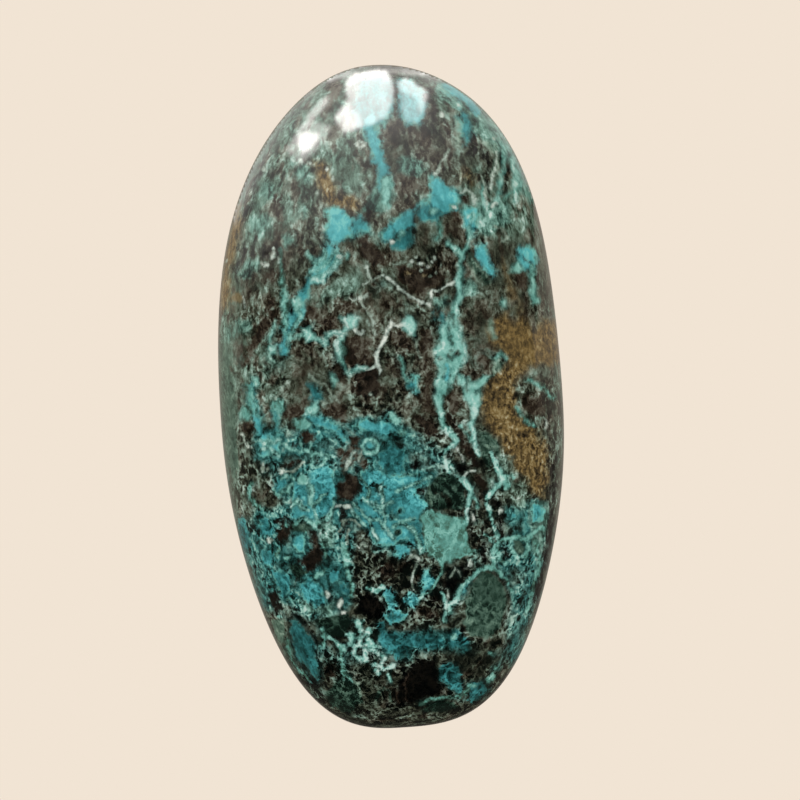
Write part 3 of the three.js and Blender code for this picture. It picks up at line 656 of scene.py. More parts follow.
# The marks of the lower third: the blue-green bodies, the smooth plate, and the dark end.
LOWER: tuple[Mark, ...] = (
    Vein(M, 0.82, (2.85-0.6j, 2.9-1.1j, 3.05-1.6j, 3.35-2.1j, 3.7-2.6j, 3.85-2.9j, 3.6-3.2j,
        3.2-3.4j), 0.36, 0.28),
    Vein(M, 0.85, (5-0.8j, 4.9-1.5j, 4.78-2j, 4.8-2.6j, 4.9-3.1j, 5-3.6j, 5.2-3.85j), 0.4, 0.14),
    Vein(M, 0.6, (4.2-2j, 4.45-2.4j, 4.7-2.85j), 0.13),
    Vein(T, 0.55, (3.5-1.3j, 4-2.3j, 4.4-3.2j, 4.7-3.9j), 0.4, 0.5),
    Spot(T, 0.15, (3.35-3.75j,), 0.3),
    Spot(T, 0.1, (4.1-4.42j,), 0.48, 0.8),
    Patch(T, 0.3, (4.5-3.8j, 5.2-3.95j, 5.15-4.5j, 4.6-4.4j)),
    Vein(K, 0.9, (3.9-3.3j, 4.05-3.7j, 4.15-3.95j), 0.13),
    Vein(M, 0.92, (3.05-4.05j, 3.2-4.5j, 3.45-4.82j, 3.8-4.95j), 0.3, 0.2),
    Vein(M, 0.85, (3.4-4.15j, 3.6-4.6j), 0.14),
    Vein(K, 0.92, (4.1-5j, 4.5-4.8j, 4.8-4.72j), 0.15),
    Patch(S, 0.03, (1.6-6.3j, 1.85-5.6j, 2.3-5.05j, 2.9-4.8j, 3.5-4.8j, 4-5.1j, 4.25-5.7j, 4.15-6.6j, 3.9-7j,
        3.3-7j, 2.5-6.9j, 2-6.7j)),
    Vein(S, 0.5, (2.8-5.05j, 3.4-5.45j, 3.8-6.1j, 3.9-6.8j), 0.18),
    Vein(S, 0.5, (2.35-5.35j, 2.95-5.75j, 3.4-6.3j, 3.55-6.85j), 0.18),
    Vein(S, 0.46, (2-5.85j, 2.55-6.15j, 3-6.5j, 3.15-6.85j), 0.16),
    Vein(S, 0.33, (1.85-6.3j, 2.4-6.55j, 2.7-6.8j), 0.14),
    Vein(T, 0.2, (2.5-5.9j, 3.05-6.2j, 3.25-6.7j), 0.1),
    Patch(T, 0.45, (1.2-1.1j, 2-1.3j, 2.6-1.7j, 2.9-2.2j, 2.6-2.7j, 2-2.5j, 1.5-1.9j)),
    Patch(M, 0.75, (-0.3-1j, 0.1-0.9j, 0.5-1.4j, 0.3-1.7j, -0.2-1.5j)),
    Spot(M, 0.6, (0.6-2.2j,), 0.18),
    Spot(T, 0.1, (1.3-4.2j,), 0.27),
    Vein(M, 0.6, (0.9-4.7j, 1.4-4.75j), 0.16),
    Patch(C, 0.72, (-2-4.3j, -1.2-4.4j, -0.2-4.7j, 0.6-4.8j, 1.6-4.85j, 2.3-4.9j, 1.9-5.3j, 1.3-5.5j,
        1.2-5.9j, 1.7-6.2j, 1.9-6.6j, 1.4-7.1j, 1.7-7.7j, 1.6-9.4j, 1.2-9j, 0.5-8.6j, 0-8.8j, -0.9-8.9j,
        -1.6-8.7j, -1.7-7.8j, -2.2-7.2j, -2.6-6.7j, -2.2-6.2j, -2-5.4j)),
    Patch(C, 0.9, (-0.6-4.9j, 0.6-4.9j, 1.6-4.95j, 2.1-5.05j, 1.4-5.4j, 0.4-5.6j, -0.5-5.4j)),
    Patch(C, 0.55, (-0.6-5.9j, 0.6-5.9j, 1-6.5j, 0.5-7.2j, -0.3-7.2j, -1.2-6.6j)),
    Patch(C, 0.9, (-2.3-6.4j, -1.6-6.5j, -0.6-7.2j, 0.3-7.7j, -0.2-8.7j, -1.2-8.6j, -1.5-7.8j, -2.1-7j)),
    Patch(C, 0.6, (1-7.7j, 1.5-7.7j, 1.6-8.4j, 1.6-9.3j, 1.3-9j, 1.2-8.3j)),
    Patch(S, 0.1, (-1.35-5.1j, -0.95-5.15j, -0.7-5.5j, -0.9-5.95j, -1.25-5.7j)),
    Spot(S, 0.15, (0.1-8.15j,), 0.25, 0.7),
    Spot(S, 0.2, (0.25-6.9j,), 0.14, 1.5),
    Patch(T, 0.35, (1.25-5.5j, 1.75-5.4j, 2-5.75j, 1.6-6.05j, 1.25-5.9j)),
    Vein(M, 0.8, (0.2-5.75j, 1.2-5.25j, 2.2-4.9j), 0.13),
    Vein(M, 0.75, (0.3-7.6j, 0.9-8j, 1.2-8.6j, 1.5-9.4j), 0.16),
    Vein(M, 0.7, (-0.1-7.8j, 0.6-7.6j, 1.2-7.4j), 0.14),
    Vein(M, 0.6, (-1.9-4.9j, -1.6-5.5j, -1.7-6.2j, -1.2-6.6j), 0.13),
    Vein(M, 0.7, (-1.2-6.7j, -0.6-7j, 0.1-7.4j), 0.13),
    Patch(C, 0.4, (-0.9-3.2j, -0.2-3j, 0.6-3.4j, 0.7-4.5j, -0.2-4.6j, -0.9-4.1j)),
    Vein(M, 0.88, (-2.6-6.5j, -2.55-7j, -2.2-7.2j, -1.85-7.6j), 0.14),
    Patch(C, 0.78, (-2.3-1.8j, -1.6-1.4j, -1-1.5j, -0.3-1.5j, 0.2-2j, -0.3-2.3j, -0.9-2j, -1.8-2j)),
    Spot(C, 1.0, (-0.6-1.72j,), 0.22, 0.8),
    Vein(M, 0.78, (-1.8-2.9j, -1.6-2.6j, -1.2-2.52j, -0.95-2.8j, -0.97-3.15j, -1.3-3.38j, -1.65-3.25j,
        -1.8-2.9j), 0.2),
    Spot(C, 0.85, (-1.35-2.95j,), 0.22),
    Vein(C, 0.7, (-4.9-1.1j, -4.2-1.4j, -3.6-1.75j, -3.2-2.1j, -3-2.5j), 0.45, 0.35),
    Patch(M, 0.55, (-6-1.3j, -5.2-1j, -4.8-1.4j, -5.1-1.8j, -5.8-1.8j)),
    Patch(T, 0.84, (-4.1-0.5j, -3.2-0.2j, -2.6-0.7j, -2.7-1.5j, -3.3-1.3j, -3.9-0.9j)),
    Patch(T, 0.68, (-5.55-2.1j, -5-1.9j, -4.55-2.2j, -4.7-2.55j, -5.3-2.55j)),
    Patch(T, 0.85, (-6.4-0.2j, -5.4-0.2j, -5.2-0.7j, -6-1.3j, -6.5-1j)),
    Patch(C, 1.1, (-7.95-1.9j, -7.3-2j, -6.8-2.2j, -6.65-2.7j, -6.8-3.2j, -6.9-3.5j, -7.4-3.3j, -7.9-3.3j,
        -8.1-2.9j, -8-2.4j)),
    Spot(M, 0.45, (-8.75-0.6j,), 0.35, 1.3),
    Vein(M, 0.95, (-8-2.3j, -7.7-2.55j, -7.4-2.25j, -7.1-2.5j, -6.8-2.3j), 0.15),
    Vein(M, 0.95, (-7.9-2.9j, -7.5-2.75j, -7.2-3j, -6.9-3.3j), 0.15),
    Vein(M, 0.6, (-7.4-2.1j, -7.45-2.7j, -7.3-3.2j), 0.11),
    Vein(C, 0.75, (-8.1-1j, -8-1.9j), 0.3),
    Vein(C, 0.5, (-6.95-0.6j, -6.85-2j), 0.25),
    Spot(T, 0.76, (-8.7-1.45j,), 0.33),
    Vein(K, 0.85, (-9.05-1.9j, -8.85-2.25j, -8.5-2.8j), 0.12),
    Vein(M, 0.7, (-6.5-2.6j, -6.1-3j, -5.6-3.1j), 0.14),
    Vein(M, 0.85, (-5.6-2.35j, -5.5-2.8j, -4.9-3.3j, -4.1-3.4j, -3.4-3.5j), 0.15),
    Vein(M, 0.85, (-4.9-2.6j, -4.95-3.3j, -4.95-3.9j, -4.75-4.1j, -4.3-3.95j, -3.9-3.6j), 0.15),
    Patch(T, 0.5, (-6.8-3.85j, -6.2-3.6j, -5.6-3.5j, -5.5-3.75j, -6.1-4j, -6.6-4.05j)),
    Spot(T, 0.45, (-5.95-2.75j,), 0.2),
    Spot(K, 0.8, (-7.9-3.9j,), 0.13, 1.5),
    Spot(K, 0.9, (-7.5-4.05j,), 0.11),
    Spot(K, 0.85, (-6.75-4.15j,), 0.12, 1.4),
    Vein(K, 0.6, (-6.6-4.2j, -6.1-4.2j, -5.6-4.05j, -5.35-3.75j), 0.13),
    Vein(M, 0.7, (-6.8-4.7j, -6.4-4.35j, -6.1-4.7j, -5.8-4.8j), 0.17),
    Patch(C, 0.84, (-6.1-4.8j, -5.5-4.5j, -5-4.4j, -4.7-4.2j, -4.2-4.1j, -3.75-4.3j, -3.75-5j, -3.55-5.5j,
        -3.65-6j, -3.75-6.6j, -4-7j, -4.5-7.2j, -4.9-7.5j, -5.3-7.25j, -5.9-7.1j, -6.3-7j, -6.1-6.5j,
        -6.1-5.6j)),
    Patch(C, 0.78, (-4.7-4.5j, -4-4.3j, -3.9-5j, -3.8-5.7j, -4.4-5.6j, -4.7-5j)),
    Patch(C, 0.52, (-4.7-6.1j, -4.3-5.9j, -3.8-6.1j, -3.9-6.7j, -4.5-6.9j)),
    Patch(C, 0.55, (-6-5.1j, -5.3-5.2j, -5.2-5.8j, -5.8-5.9j)),
    Patch(M, 0.85, (-6-4.8j, -5.4-4.35j, -5.1-4.6j, -5.3-5j, -5.8-5j)),
    Vein(M, 0.8, (-5.4-4.7j, -5.05-5.1j, -5.05-6j, -4.9-6.5j, -4.75-7.2j, -4.9-7.6j), 0.17),
    Vein(M, 0.75, (-4.9-6.3j, -4.5-5.9j, -4.1-5.75j), 0.15),
    Vein(M, 0.75, (-6.2-6.3j, -5.8-6j, -5.6-6.4j, -5.2-6.6j), 0.14),
    Vein(M, 0.7, (-3.65-6.2j, -3.85-6.9j, -4.9-7.5j), 0.14),
    Patch(C, 0.68, (-7.3-5.1j, -7-4.75j, -6.6-4.8j, -6.4-5.2j, -6.7-5.45j, -7.1-5.4j)),
    Vein(M, 0.5, (-7.4-5.2j, -7-5.6j, -6.45-5.55j, -6.25-5.15j), 0.13),
    Patch(T, 0.72, (-2.1-4.2j, -2-4.8j, -2.1-5.5j, -2.6-6.2j, -3.2-6.1j, -3.5-5.5j, -3.3-5j, -2.7-4.6j)),
    Vein(T, 0.5, (-2.1-4.8j, -2.2-5.4j, -2.6-6.1j, -3.1-6.1j), 0.18, 0.2),
    Vein(T, 0.9, (-2.7-4.9j, -2.9-5.6j), 0.2, 0.16),
    Spot(T, 0.1, (-2.2-4.45j,), 0.22, 1.4),
    Patch(T, 1.0, (-2.6-2.7j, -1.9-3j, -1.6-3.8j, -1.8-4.4j, -2.3-3.9j, -3-4.5j, -3.2-3.6j)),
    Vein(K, 0.6, (-1.9-3.2j, -2.1-3.8j), 0.1),
    Spot(T, 0.65, (-3.15-3.3j,), 0.32),
    Spot(T, 0.7, (-2.3-2.6j,), 0.28),
    Vein(K, 0.7, (-2.35-3.2j, -2.65-3.7j, -2.85-4.3j), 0.12),
    Vein(K, 0.95, (-3.5-6.42j, -3.1-6.52j, -2.7-6.48j), 0.17),
    Vein(T, 0.3, (-3.15-6.75j, -3.1-7.4j, -3.2-8.1j), 0.5, 0.4),
    Vein(K, 0.5, (-3.5-8j, -3.2-7.4j, -2.9-7.2j, -2.6-7.3j, -2.2-7.6j), 0.11),
    Patch(S, 0.4, (-6.2-7.9j, -6.1-7.5j, -5.7-7.25j, -5.2-7.4j, -5-7.8j, -5.5-8j)),
    Vein(M, 0.55, (-6.3-7.7j, -6-7.3j, -5.5-7.15j, -5.05-7.5j, -4.9-7.9j), 0.13),
    Patch(T, 0.6, (-7.1-7.1j, -6.5-7j, -6.2-7.6j, -6.5-8j, -7-7.8j)),
    Spot(M, 0.5, (-6.6-7.4j,), 0.12, 1.4),
    Patch(S, 0.62, (-10.3+3.6j, -9.7+3.6j, -9.35+0.2j, -9.35-3.4j, -9.5-4.6j, -10.3-3.4j)),
    Vein(M, 0.45, (-8.6-4.9j, -8.65-5.5j, -8.45-6j, -8.1-6.4j, -7.7-6.5j), 0.24, 0.15),
    Spot(T, 0.2, (-8.7-7.45j,), 0.15),
    Patch(C, 0.5, (-8.2-7j, -7.6-7.1j, -7.4-7.9j, -8.1-8.1j)),
    Patch(C, 0.45, (-9.6-7.1j, -9.1-7j, -8.9-7.8j, -8.8-8.8j, -9.3-8.8j, -9.6-8j)),
    Spot(K, 0.9, (-7.65-8.3j,), 0.17, 0.8),
    Patch(T, 0.5, (-7.2-7.6j, -6.7-7.5j, -6.4-8j, -6.9-8.4j, -7.3-8.2j)),
    Patch(C, 0.8, (-6.15-8.1j, -5.6-8.05j, -5.45-8.6j, -5.6-9.2j, -6-9.1j, -6.2-8.6j)),
    Patch(T, 0.5, (-5.2-7.8j, -4.9-8.2j, -4.6-8.9j, -4.5-9.5j, -4.9-9.8j, -5.1-10.3j, -5.6-10.2j, -6.1-9.8j,
        -5.6-9.3j, -5.2-8.9j)),
    Patch(S, 0.3, (-6.5-9.9j, -6-9.9j, -5.5-10.4j, -6-10.7j, -6.5-10.4j)),
    Spot(M, 0.7, (-6.6-9.5j,), 0.22, 0.7),
    Vein(M, 0.5, (-7.3-9.3j, -7.1-8.9j), 0.25),
    Patch(C, 0.55, (-8.2-8.8j, -7.6-8.9j, -7.5-9.8j, -8.1-9.7j)),
    Vein(M, 0.75, (-4.95-8j, -4.7-8.7j), 0.16),
    Vein(M, 0.5, (-4.4-8.7j, -4.3-9.4j), 0.16),
    Vein(M, 0.62, (-3.1-8.8j, -3.05-9.9j), 0.42),
    Vein(K, 0.6, (-2.9-7.9j, -2.9-8.7j), 0.11),
    Vein(K, 0.75, (-2.3-9j, -2.1-8.75j, -1.9-8.95j), 0.12),
    Spot(M, 0.8, (-1.35-9.15j,), 0.12),
    Patch(M, 0.6, (-5.1-10.8j, -4.7-10.2j, -4.2-10.05j, -4.5-10.5j, -4.9-10.9j)),
    Patch(C, 0.85, (-4.2-10.7j, -3.9-10.25j, -3.5-10.4j, -3.5-11.1j, -4-11.1j)),
    Patch(C, 0.4, (-4-11.1j, -3.3-11j, -3-11.5j, -3.2-11.9j, -3.7-11.5j)),
    Vein(M, 0.45, (-2.95-10.3j, -2.85-11.1j, -2.9-11.9j), 0.25, 0.2),
    Spot(K, 1.0, (-3.6-12.25j,), 0.15, 1.5),
    Spot(K, 1.0, (-3.3-12.8j,), 0.12, 1.2),
    Spot(K, 0.8, (-4.3-11.7j,), 0.14),
    Spot(T, 0.1, (-4.1-11.97j,), 0.22, 0.6),
    Vein(M, 0.5, (-6.6-12j, -6-11.95j), 0.14),
    Patch(C, 0.52, (-7.7-10.2j, -7-10j, -6.5-10.7j, -6.4-11.6j, -6.9-11.8j, -7.4-11.2j)),
    Patch(C, 0.58, (-5.9-11j, -5.3-10.7j, -4.6-11.2j, -4.4-12.1j, -5.1-12.5j, -5.7-11.9j)),
    Patch(T, 0.2, (-7.95-11.6j, -7.6-11.3j, -7.2-11.5j, -7.1-12.4j, -7.2-12.8j, -7.5-12.7j, -7.8-12.2j)),
    Spot(M, 0.6, (-7.2-12.9j,), 0.14, 0.7),
    Patch(T, 0.05, (-6.8-12.85j, -6.3-12.7j, -5.7-13.2j, -5.2-14j, -4.85-15j, -4.75-16j, -4.85-17.1j,
        -5.4-16.9j, -6.1-16j, -6.65-14.9j, -6.8-13.8j)),
    Patch(C, 0.28, (-6.6-13.2j, -6.3-13.05j, -5.85-13.6j, -5.4-14.3j, -5.1-15.2j, -5-16j, -5.05-16.8j,
        -5.5-16.4j, -6.1-15.6j, -6.5-14.8j, -6.6-14j)),
    Vein(C, 0.42, (-6.3-13.6j, -5.8-14.5j, -5.35-15.6j, -5.2-16.4j), 0.24, 0.14),
    Vein(M, 0.2, (-6.9-14.4j, -6.6-15.4j, -6.1-16.3j, -5.6-16.9j), 0.2, 0.12),
    Patch(S, 0.75, (-7.7-13.1j, -7-13j, -6.95-14j, -7.1-14.6j, -7.5-14.2j)),
    Vein(M, 0.4, (-3.65-14.9j, -3.6-15.8j, -3.45-16.5j, -3.7-17.3j), 0.25, 0.2),
    Vein(M, 0.35, (-3.5-16.3j, -3.1-16.9j), 0.2),
    Patch(T, 0.4, (-4.7-15.9j, -4-16j, -3.9-16.8j, -4.6-16.9j)),
    Patch(S, 0.08, (-5.2-13.2j, -3-12.9j, -2.9-13.6j, -3.4-14.3j, -4.4-14.2j)),
    Patch(S, 0.1, (-4.6-17.6j, -3.9-16.8j, -3-16.9j, -2.4-18.3j, -3.4-18.9j, -4.4-18.4j)),
    Patch(T, 0.08, (-2.5-11.9j, -1.9-11.7j, -1.2-12j, -0.8-12.4j, -0.8-13j, -1.1-13.3j, -1.7-13.2j,
        -2.3-12.9j, -2.6-12.5j)),
    Patch(T, 0.45, (-1.2-10.1j, -0.3-9.9j, -0.1-10.7j, -0.7-11j, -1.3-10.7j)),
    Vein(M, 0.75, (-1.95-11.4j, -1.45-11.75j, -1.05-11.5j), 0.24),
    Patch(C, 0.82, (-0.95-11.7j, -0.5-11.45j, -0.1-11.9j, -0.15-12.6j, -0.6-12.8j, -0.8-12.2j)),
    Patch(C, 0.6, (-1-13.1j, -0.3-12.85j, 0.4-13j, 0.2-13.4j, -0.6-13.6j)),
    Patch(C, 0.37, (-1.4-13.6j, -1-13.5j, -0.9-14.1j, 0-14.3j, 1-14.4j, 1.9-14.2j, 2.6-14.6j, 2.7-15.1j,
        1.8-15.3j, 0.6-15.1j, 0.2-15.6j, -0.4-15.7j, -1-15.1j, -1.3-14.5j)),
    Patch(C, 0.34, (2.7-14.4j, 3.4-14.3j, 4.1-14.9j, 3.9-15.4j, 3-15.2j)),
    Spot(T, 0.1, (0.6-14.2j,), 0.16, 0.6),
    Patch(M, 0.95, (-2.2-14.45j, -1.7-14.5j, -1.4-14.8j, -1.3-15.05j, -1.7-15.1j, -2.1-14.9j)),
    Patch(M, 0.85, (-2.2-13.85j, -1.8-13.85j, -1.65-14.2j, -2-14.35j)),
    Patch(M, 0.85, (-2.85-13.3j, -2.2-13.3j, -2.3-13.6j, -2.7-13.8j)),
    Patch(M, 0.9, (-3.05-14.1j, -2.75-14.1j, -2.7-14.6j, -3-14.65j)),
    Vein(M, 1.0, (-2.55-13.5j, -2.45-14.1j, -2.4-14.7j), 0.2, 0.15),
    Vein(M, 1.0, (-3-14.75j, -2.5-14.82j, -1.9-14.8j), 0.2),
    Vein(M, 1.0, (-4.4-14.2j, -4-14.5j, -3.6-14.75j, -3.35-14.75j, -3.35-15.15j), 0.18),
    Vein(M, 1.0, (-3.4-15.1j, -3-15.3j, -2.7-15.05j, -2.9-14.8j), 0.18),
    Vein(M, 1.0, (-2.95-15.3j, -2.55-15.6j, -2.2-15.8j, -2.2-15.1j), 0.2),
    Vein(M, 1.0, (-2.05-15j, -1.7-15.2j, -1.3-15.4j, -1.1-15.7j, -1.3-15.95j), 0.22),
    Vein(M, 1.0, (-1.65-16j, -1.3-16.15j, -1.15-16.4j, -0.8-16.25j, -0.6-16.1j), 0.22),
    Vein(M, 0.85, (-1.7-16.35j, -1.45-16.6j), 0.17),
    Vein(M, 0.95, (-2.2-14.2j, -2.6-14.35j, -3.2-14.2j), 0.17),
    Vein(M, 0.6, (-4.65-13.8j, -4.55-14.4j, -4.7-14.9j), 0.2, 0.14),
    Vein(M, 0.6, (-0.85-16.75j, -0.65-17.05j), 0.17),
    Spot(T, 0.0, (-3.1-14.95j,), 0.2),
    Spot(T, 0.0, (-2.45-15.05j,), 0.16, 0.6),
    Spot(T, 0.0, (-1.85-15.6j,), 0.24),
    Spot(T, 0.0, (-2.6-14.55j,), 0.09, 1.4),
    Spot(S, 0.0, (-1.45-15.65j,), 0.13),
    Patch(T, 0.04, (0.2-16.2j, 0.7-15.8j, 1.4-15.7j, 2.1-15.9j, 2.1-16.6j, 2.3-17.4j, 2.6-17.9j, 1.6-18.1j,
        0.6-18.6j, -0.3-18.7j, -1.3-18.5j, -1.2-17.6j, -0.5-17.6j)),
    Vein(S, 0.4, (-1.6-18.1j, -1.5-17.7j, -1.1-17.5j, -0.8-17.8j, -0.8-18.2j), 0.14),
    Vein(T, 0.5, (0.3-16.5j, 0.1-17.4j, 0.2-18.3j), 0.1),
    Vein(T, 0.55, (-0.4-17.6j, -0.3-18.4j), 0.1),
    Vein(S, 0.6, (-2.9-16.9j, -2.6-17.4j, -2.6-18.3j), 0.12),
    Patch(C, 0.29, (2.4-16.2j, 3-16.1j, 3.4-16.4j, 3.4-17j, 3.55-17.6j, 3.3-18j, 2.9-17.7j, 2.5-17.3j,
        2.15-16.9j, 2.2-16.5j)),
    Patch(C, 0.2, (3.8-17.8j, 4.1-17.5j, 4.8-17.4j, 5.1-17.9j, 4.7-18.4j, 4.1-18.6j, 3.9-18.2j)),
    Vein(M, 0.25, (3.6-17.95j, 4-17.6j, 4.3-17.6j), 0.14),
    Vein(M, 0.35, (0.9-18.6j, 1.3-18.45j, 1.8-18.3j, 2.3-18.25j, 3-18.2j, 3.4-18.2j, 3.9-17.9j), 0.13, 0.14),
    Patch(S, 0.05, (1-18.9j, 1.9-18.5j, 3-18.4j, 3.4-18.9j, 2.2-19.1j)),
    Patch(M, 0.36, (1.35-7.3j, 1.75-6.95j, 2.2-6.85j, 2.7-7.1j, 3.1-7.3j, 3.6-7.5j, 4.05-7.2j, 4.15-7.8j,
        4.1-8.6j, 4.25-9.2j, 4.9-9.6j, 4.2-9.75j, 3.7-9.85j, 3.2-10j, 2.6-10.2j, 2.1-9.8j, 1.7-9.4j,
        1.6-8.6j, 1.5-7.9j)),
    Vein(M, 0.5, (2.6-10j, 2.55-10.7j, 2.25-11.2j, 1.9-11.7j, 1.3-12.05j, 1-12.4j), 0.25, 0.2),
    Spot(T, 0.1, (3.35-7.25j,), 0.2, 0.7),
    Spot(T, 0.1, (3.8-7.25j,), 0.14),
    Vein(C, 0.35, (2-7.2j, 2.4-7.75j), 0.08),
    Vein(M, 0.7, (4.2-9.4j, 4.6-9.35j, 4.9-9.4j), 0.12),
    Vein(M, 0.7, (4.2-10j, 4.6-9.95j), 0.1),
    Patch(C, 0.8, (-0.1-8.9j, 0.6-9j, 0.8-9.4j, 0.2-9.7j, -0.2-9.4j)),
    Vein(M, 0.82, (4.1-5.1j, 4.35-5.5j, 4.55-5.85j, 4.4-6.4j, 4.2-7j, 4.12-7.6j), 0.36, 0.2),
    Vein(M, 0.7, (4.55-5.8j, 4.75-6.3j, 4.9-6.9j), 0.16),
    Patch(T, 0.1, (4.3-7.1j, 4.7-7j, 4.8-7.6j, 4.5-8j, 4.25-7.6j)),
    Patch(T, 0.1, (4.2-8.2j, 4.5-8.1j, 4.5-8.7j, 4.25-8.9j)),
    Vein(K, 0.85, (4.5-7.1j, 4.65-7.6j), 0.1),
    Patch(S, 0.5, (5.1-2.4j, 5.8-2.6j, 6.3-3.2j, 6.4-3.8j, 6-4.3j, 5.7-4.9j, 5.4-4.2j, 5.2-3.4j)),
    Vein(M, 0.72, (5.9-3.7j, 6.1-4.2j, 6.3-4.7j, 6.55-5.1j, 6.7-5.7j), 0.3, 0.35),
    Vein(M, 0.7, (6.5-5.1j, 6.9-5j, 7.1-5.3j), 0.16),
    Vein(M, 0.8, (6.5-5.3j, 6.1-5.7j, 5.7-6j, 5.45-6.4j, 5.55-7j, 5.8-7.6j, 5.95-8.2j, 6-8.75j), 0.26, 0.18),
    Patch(T, 0.6, (4.7-4.9j, 5.1-4.9j, 5.5-5.4j, 5.6-5.8j, 5.2-5.8j, 4.8-5.4j)),
    Spot(T, 0.0, (5.4-6j,), 0.16),
    Spot(T, 0.05, (5.95-6.6j,), 0.33),
    Vein(T, 0.1, (6.15-7.1j, 6.3-8.3j), 0.4, 0.3),
    Spot(K, 0.9, (6.22-7.1j,), 0.1, 1.3),
    Spot(C, 0.5, (7-7.5j,), 0.15),
    Patch(C, 0.75, (8.2-6.8j, 8.7-6.9j, 8.9-7.3j, 8.6-7.9j, 8.1-8j, 8.1-7.3j)),
    Patch(T, 0.15, (4.9-8.9j, 5.3-8.9j, 5.4-9.6j, 5.4-10.2j, 5-10.3j, 4.9-9.8j)),
    Vein(M, 0.6, (5.2-8.6j, 5.9-9.1j), 0.2),
    Patch(C, 0.85, (1.55-10.5j, 1.9-10.5j, 2.15-11.1j, 1.9-11.7j, 1.4-11.9j, 1.3-11.6j, 1.5-11.2j)),
    Vein(K, 0.7, (1.2-9.9j, 1-10.3j, 0.8-10.8j, 0.8-11.4j), 0.12),
    Vein(K, 0.7, (1.3-9.9j, 1-9.4j, 0.6-9.9j), 0.12),
    Patch(C, 0.85, (0.7-11.85j, 1.2-12.2j, 0.9-12.75j, 0.5-12.7j, 0.2-12.3j)),
    Patch(T, 0.15, (2.9-10.4j, 3.5-10.2j, 4.5-10.2j, 4.2-10.8j, 3.7-11.3j, 3.3-12j, 3-12j, 2.6-11.4j)),
    Spot(K, 0.9, (4.3-10.15j,), 0.12, 1.4),
    Vein(K, 0.7, (3.4-10.4j, 3.1-11j), 0.11),
    Vein(K, 0.7, (3.6-10.5j, 3.7-10.9j), 0.1),
    Vein(K, 0.7, (2.4-11.55j, 2.9-11.75j, 2.9-12.2j), 0.12),
    Patch(T, 0.2, (1.5-12.1j, 2.5-12j, 2.5-12.3j, 1.9-12.5j)),
    Patch(T, 0.45, (1-12.9j, 2-12.8j, 2.4-13.4j, 1.5-13.5j)),
    Vein(M, 0.82, (2.5-12j, 2.8-12.6j, 2.85-13.1j, 2.6-13.6j), 0.22, 0.17),
    Vein(M, 0.7, (3.1-12.5j, 3-13.1j), 0.2),
    Patch(S, 0.36, (5-10.8j, 5.8-10.8j, 6.2-11.4j, 6.6-12.2j, 6.5-13.2j, 6-14j, 5.2-14.7j, 4.2-14.6j,
        3.8-14j, 4-13j, 4-12.2j, 4.4-11.4j)),
    Patch(S, 0.5, (3.7-13.6j, 4.5-13.4j, 5-14.1j, 4.7-14.6j, 4-14.5j)),
    Vein(T, 0.25, (6.1-11.2j, 6.5-12.1j, 6.5-13.1j, 6.1-13.9j), 0.2, 0.25),
    Vein(M, 0.75, (5.6-10.5j, 4.9-10.6j, 4.5-10.95j, 4-11.35j, 3.65-11.9j, 3.3-12.45j), 0.26, 0.26),
    Vein(C, 0.7, (4.1-11.4j, 3.8-11.9j), 0.16),
    Vein(M, 0.55, (5.6-10.5j, 6-10.6j, 6.3-11j, 6.6-11.5j, 6.8-12j, 6.85-12.8j), 0.22, 0.13),
    Vein(M, 0.68, (5.7-10.3j, 5.75-9.8j, 5.8-9.3j, 6.2-8.9j, 6.9-8.8j, 7.3-8.7j), 0.28, 0.22),
    Vein(M, 0.6, (6.1-9j, 6-9.5j, 6.15-10j, 6.5-10.3j), 0.2),
    Vein(M, 0.65, (6.8-8.9j, 6.9-9.6j, 7.1-10j, 7.6-10j, 7.9-9.5j, 7.7-8.95j, 7.3-8.7j), 0.2),
    Vein(M, 0.6, (7.5-8.8j, 8.2-8.6j, 8.7-8.3j), 0.25),
    Patch(T, 0.1, (6.35-9.2j, 6.6-9.5j, 6.7-10j, 6.5-10.2j, 6.25-10j, 6.2-9.5j)),
    Patch(S, 0.45, (7-8.95j, 7.35-8.9j, 7.65-9.4j, 7.5-9.85j, 7.1-9.8j)),
    Vein(M, 0.45, (8.2-9j, 8.5-10j, 8.35-10.8j, 8.1-11.6j, 7.9-12.4j, 7.6-13.2j), 0.16),
    # A black band just inside the lower right rim: painted shade along the steep edge, laid as a tenorite
    # vein.
    Vein(T, 0.1, (9.45-4.6j, 9.42-5.8j, 9.38-7j, 9.25-8.2j, 9-9.4j, 8.75-10.5j, 8.45-11.6j,
        8.1-12.6j), 0.3, 0.35),
    Patch(T, 0.2, (3.5-14.1j, 3.8-14j, 3.9-14.6j, 3.7-14.7j)),
    Spot(M, 0.7, (3.2-14.6j,), 0.13),
    Spot(M, 0.6, (5.4-15.75j,), 0.13, 0.8),
    Spot(M, 0.5, (5.6-16.6j,), 0.14),
    Vein(M, 0.45, (5.05-17.3j, 5.4-17j), 0.14),
    Patch(T, 0.55, (-5.25-7.9j, -4.8-7.8j, -4.55-8.6j, -4.5-9.6j, -5-9.9j, -5.2-9j)),
    Vein(M, 0.9, (-2.5-6.3j, -2-6.8j, -1.55-7.4j, -1.5-8.1j, -1.2-8.5j), 0.13),
    Vein(M, 0.9, (-1.9-6j, -1.3-6.35j, -0.8-6.6j, -0.3-6.3j), 0.12),
    Vein(M, 0.85, (-1.6-7.2j, -1-7.3j, -0.5-7.9j, -0.2-8.4j), 0.13),
    Vein(M, 0.85, (-0.9-5.5j, -0.75-6.2j, -0.6-7j, -0.75-7.7j), 0.12),
    Vein(T, 0.35, (-0.95-6.9j, -0.9-7.1j), 0.13),
    Vein(T, 0.35, (-1.9-7.6j, -1.75-7.9j), 0.12),
    Spot(T, 0.3, (-0.35-7.2j,), 0.12, 1.5),
)


@dataclass(frozen=True)
class Wave:
    """One shallow wave that the grinding wheel left round the rim."""

    waves: int
    depth: float
    bearing: float  # of a crest, in degrees from +X towards +Y


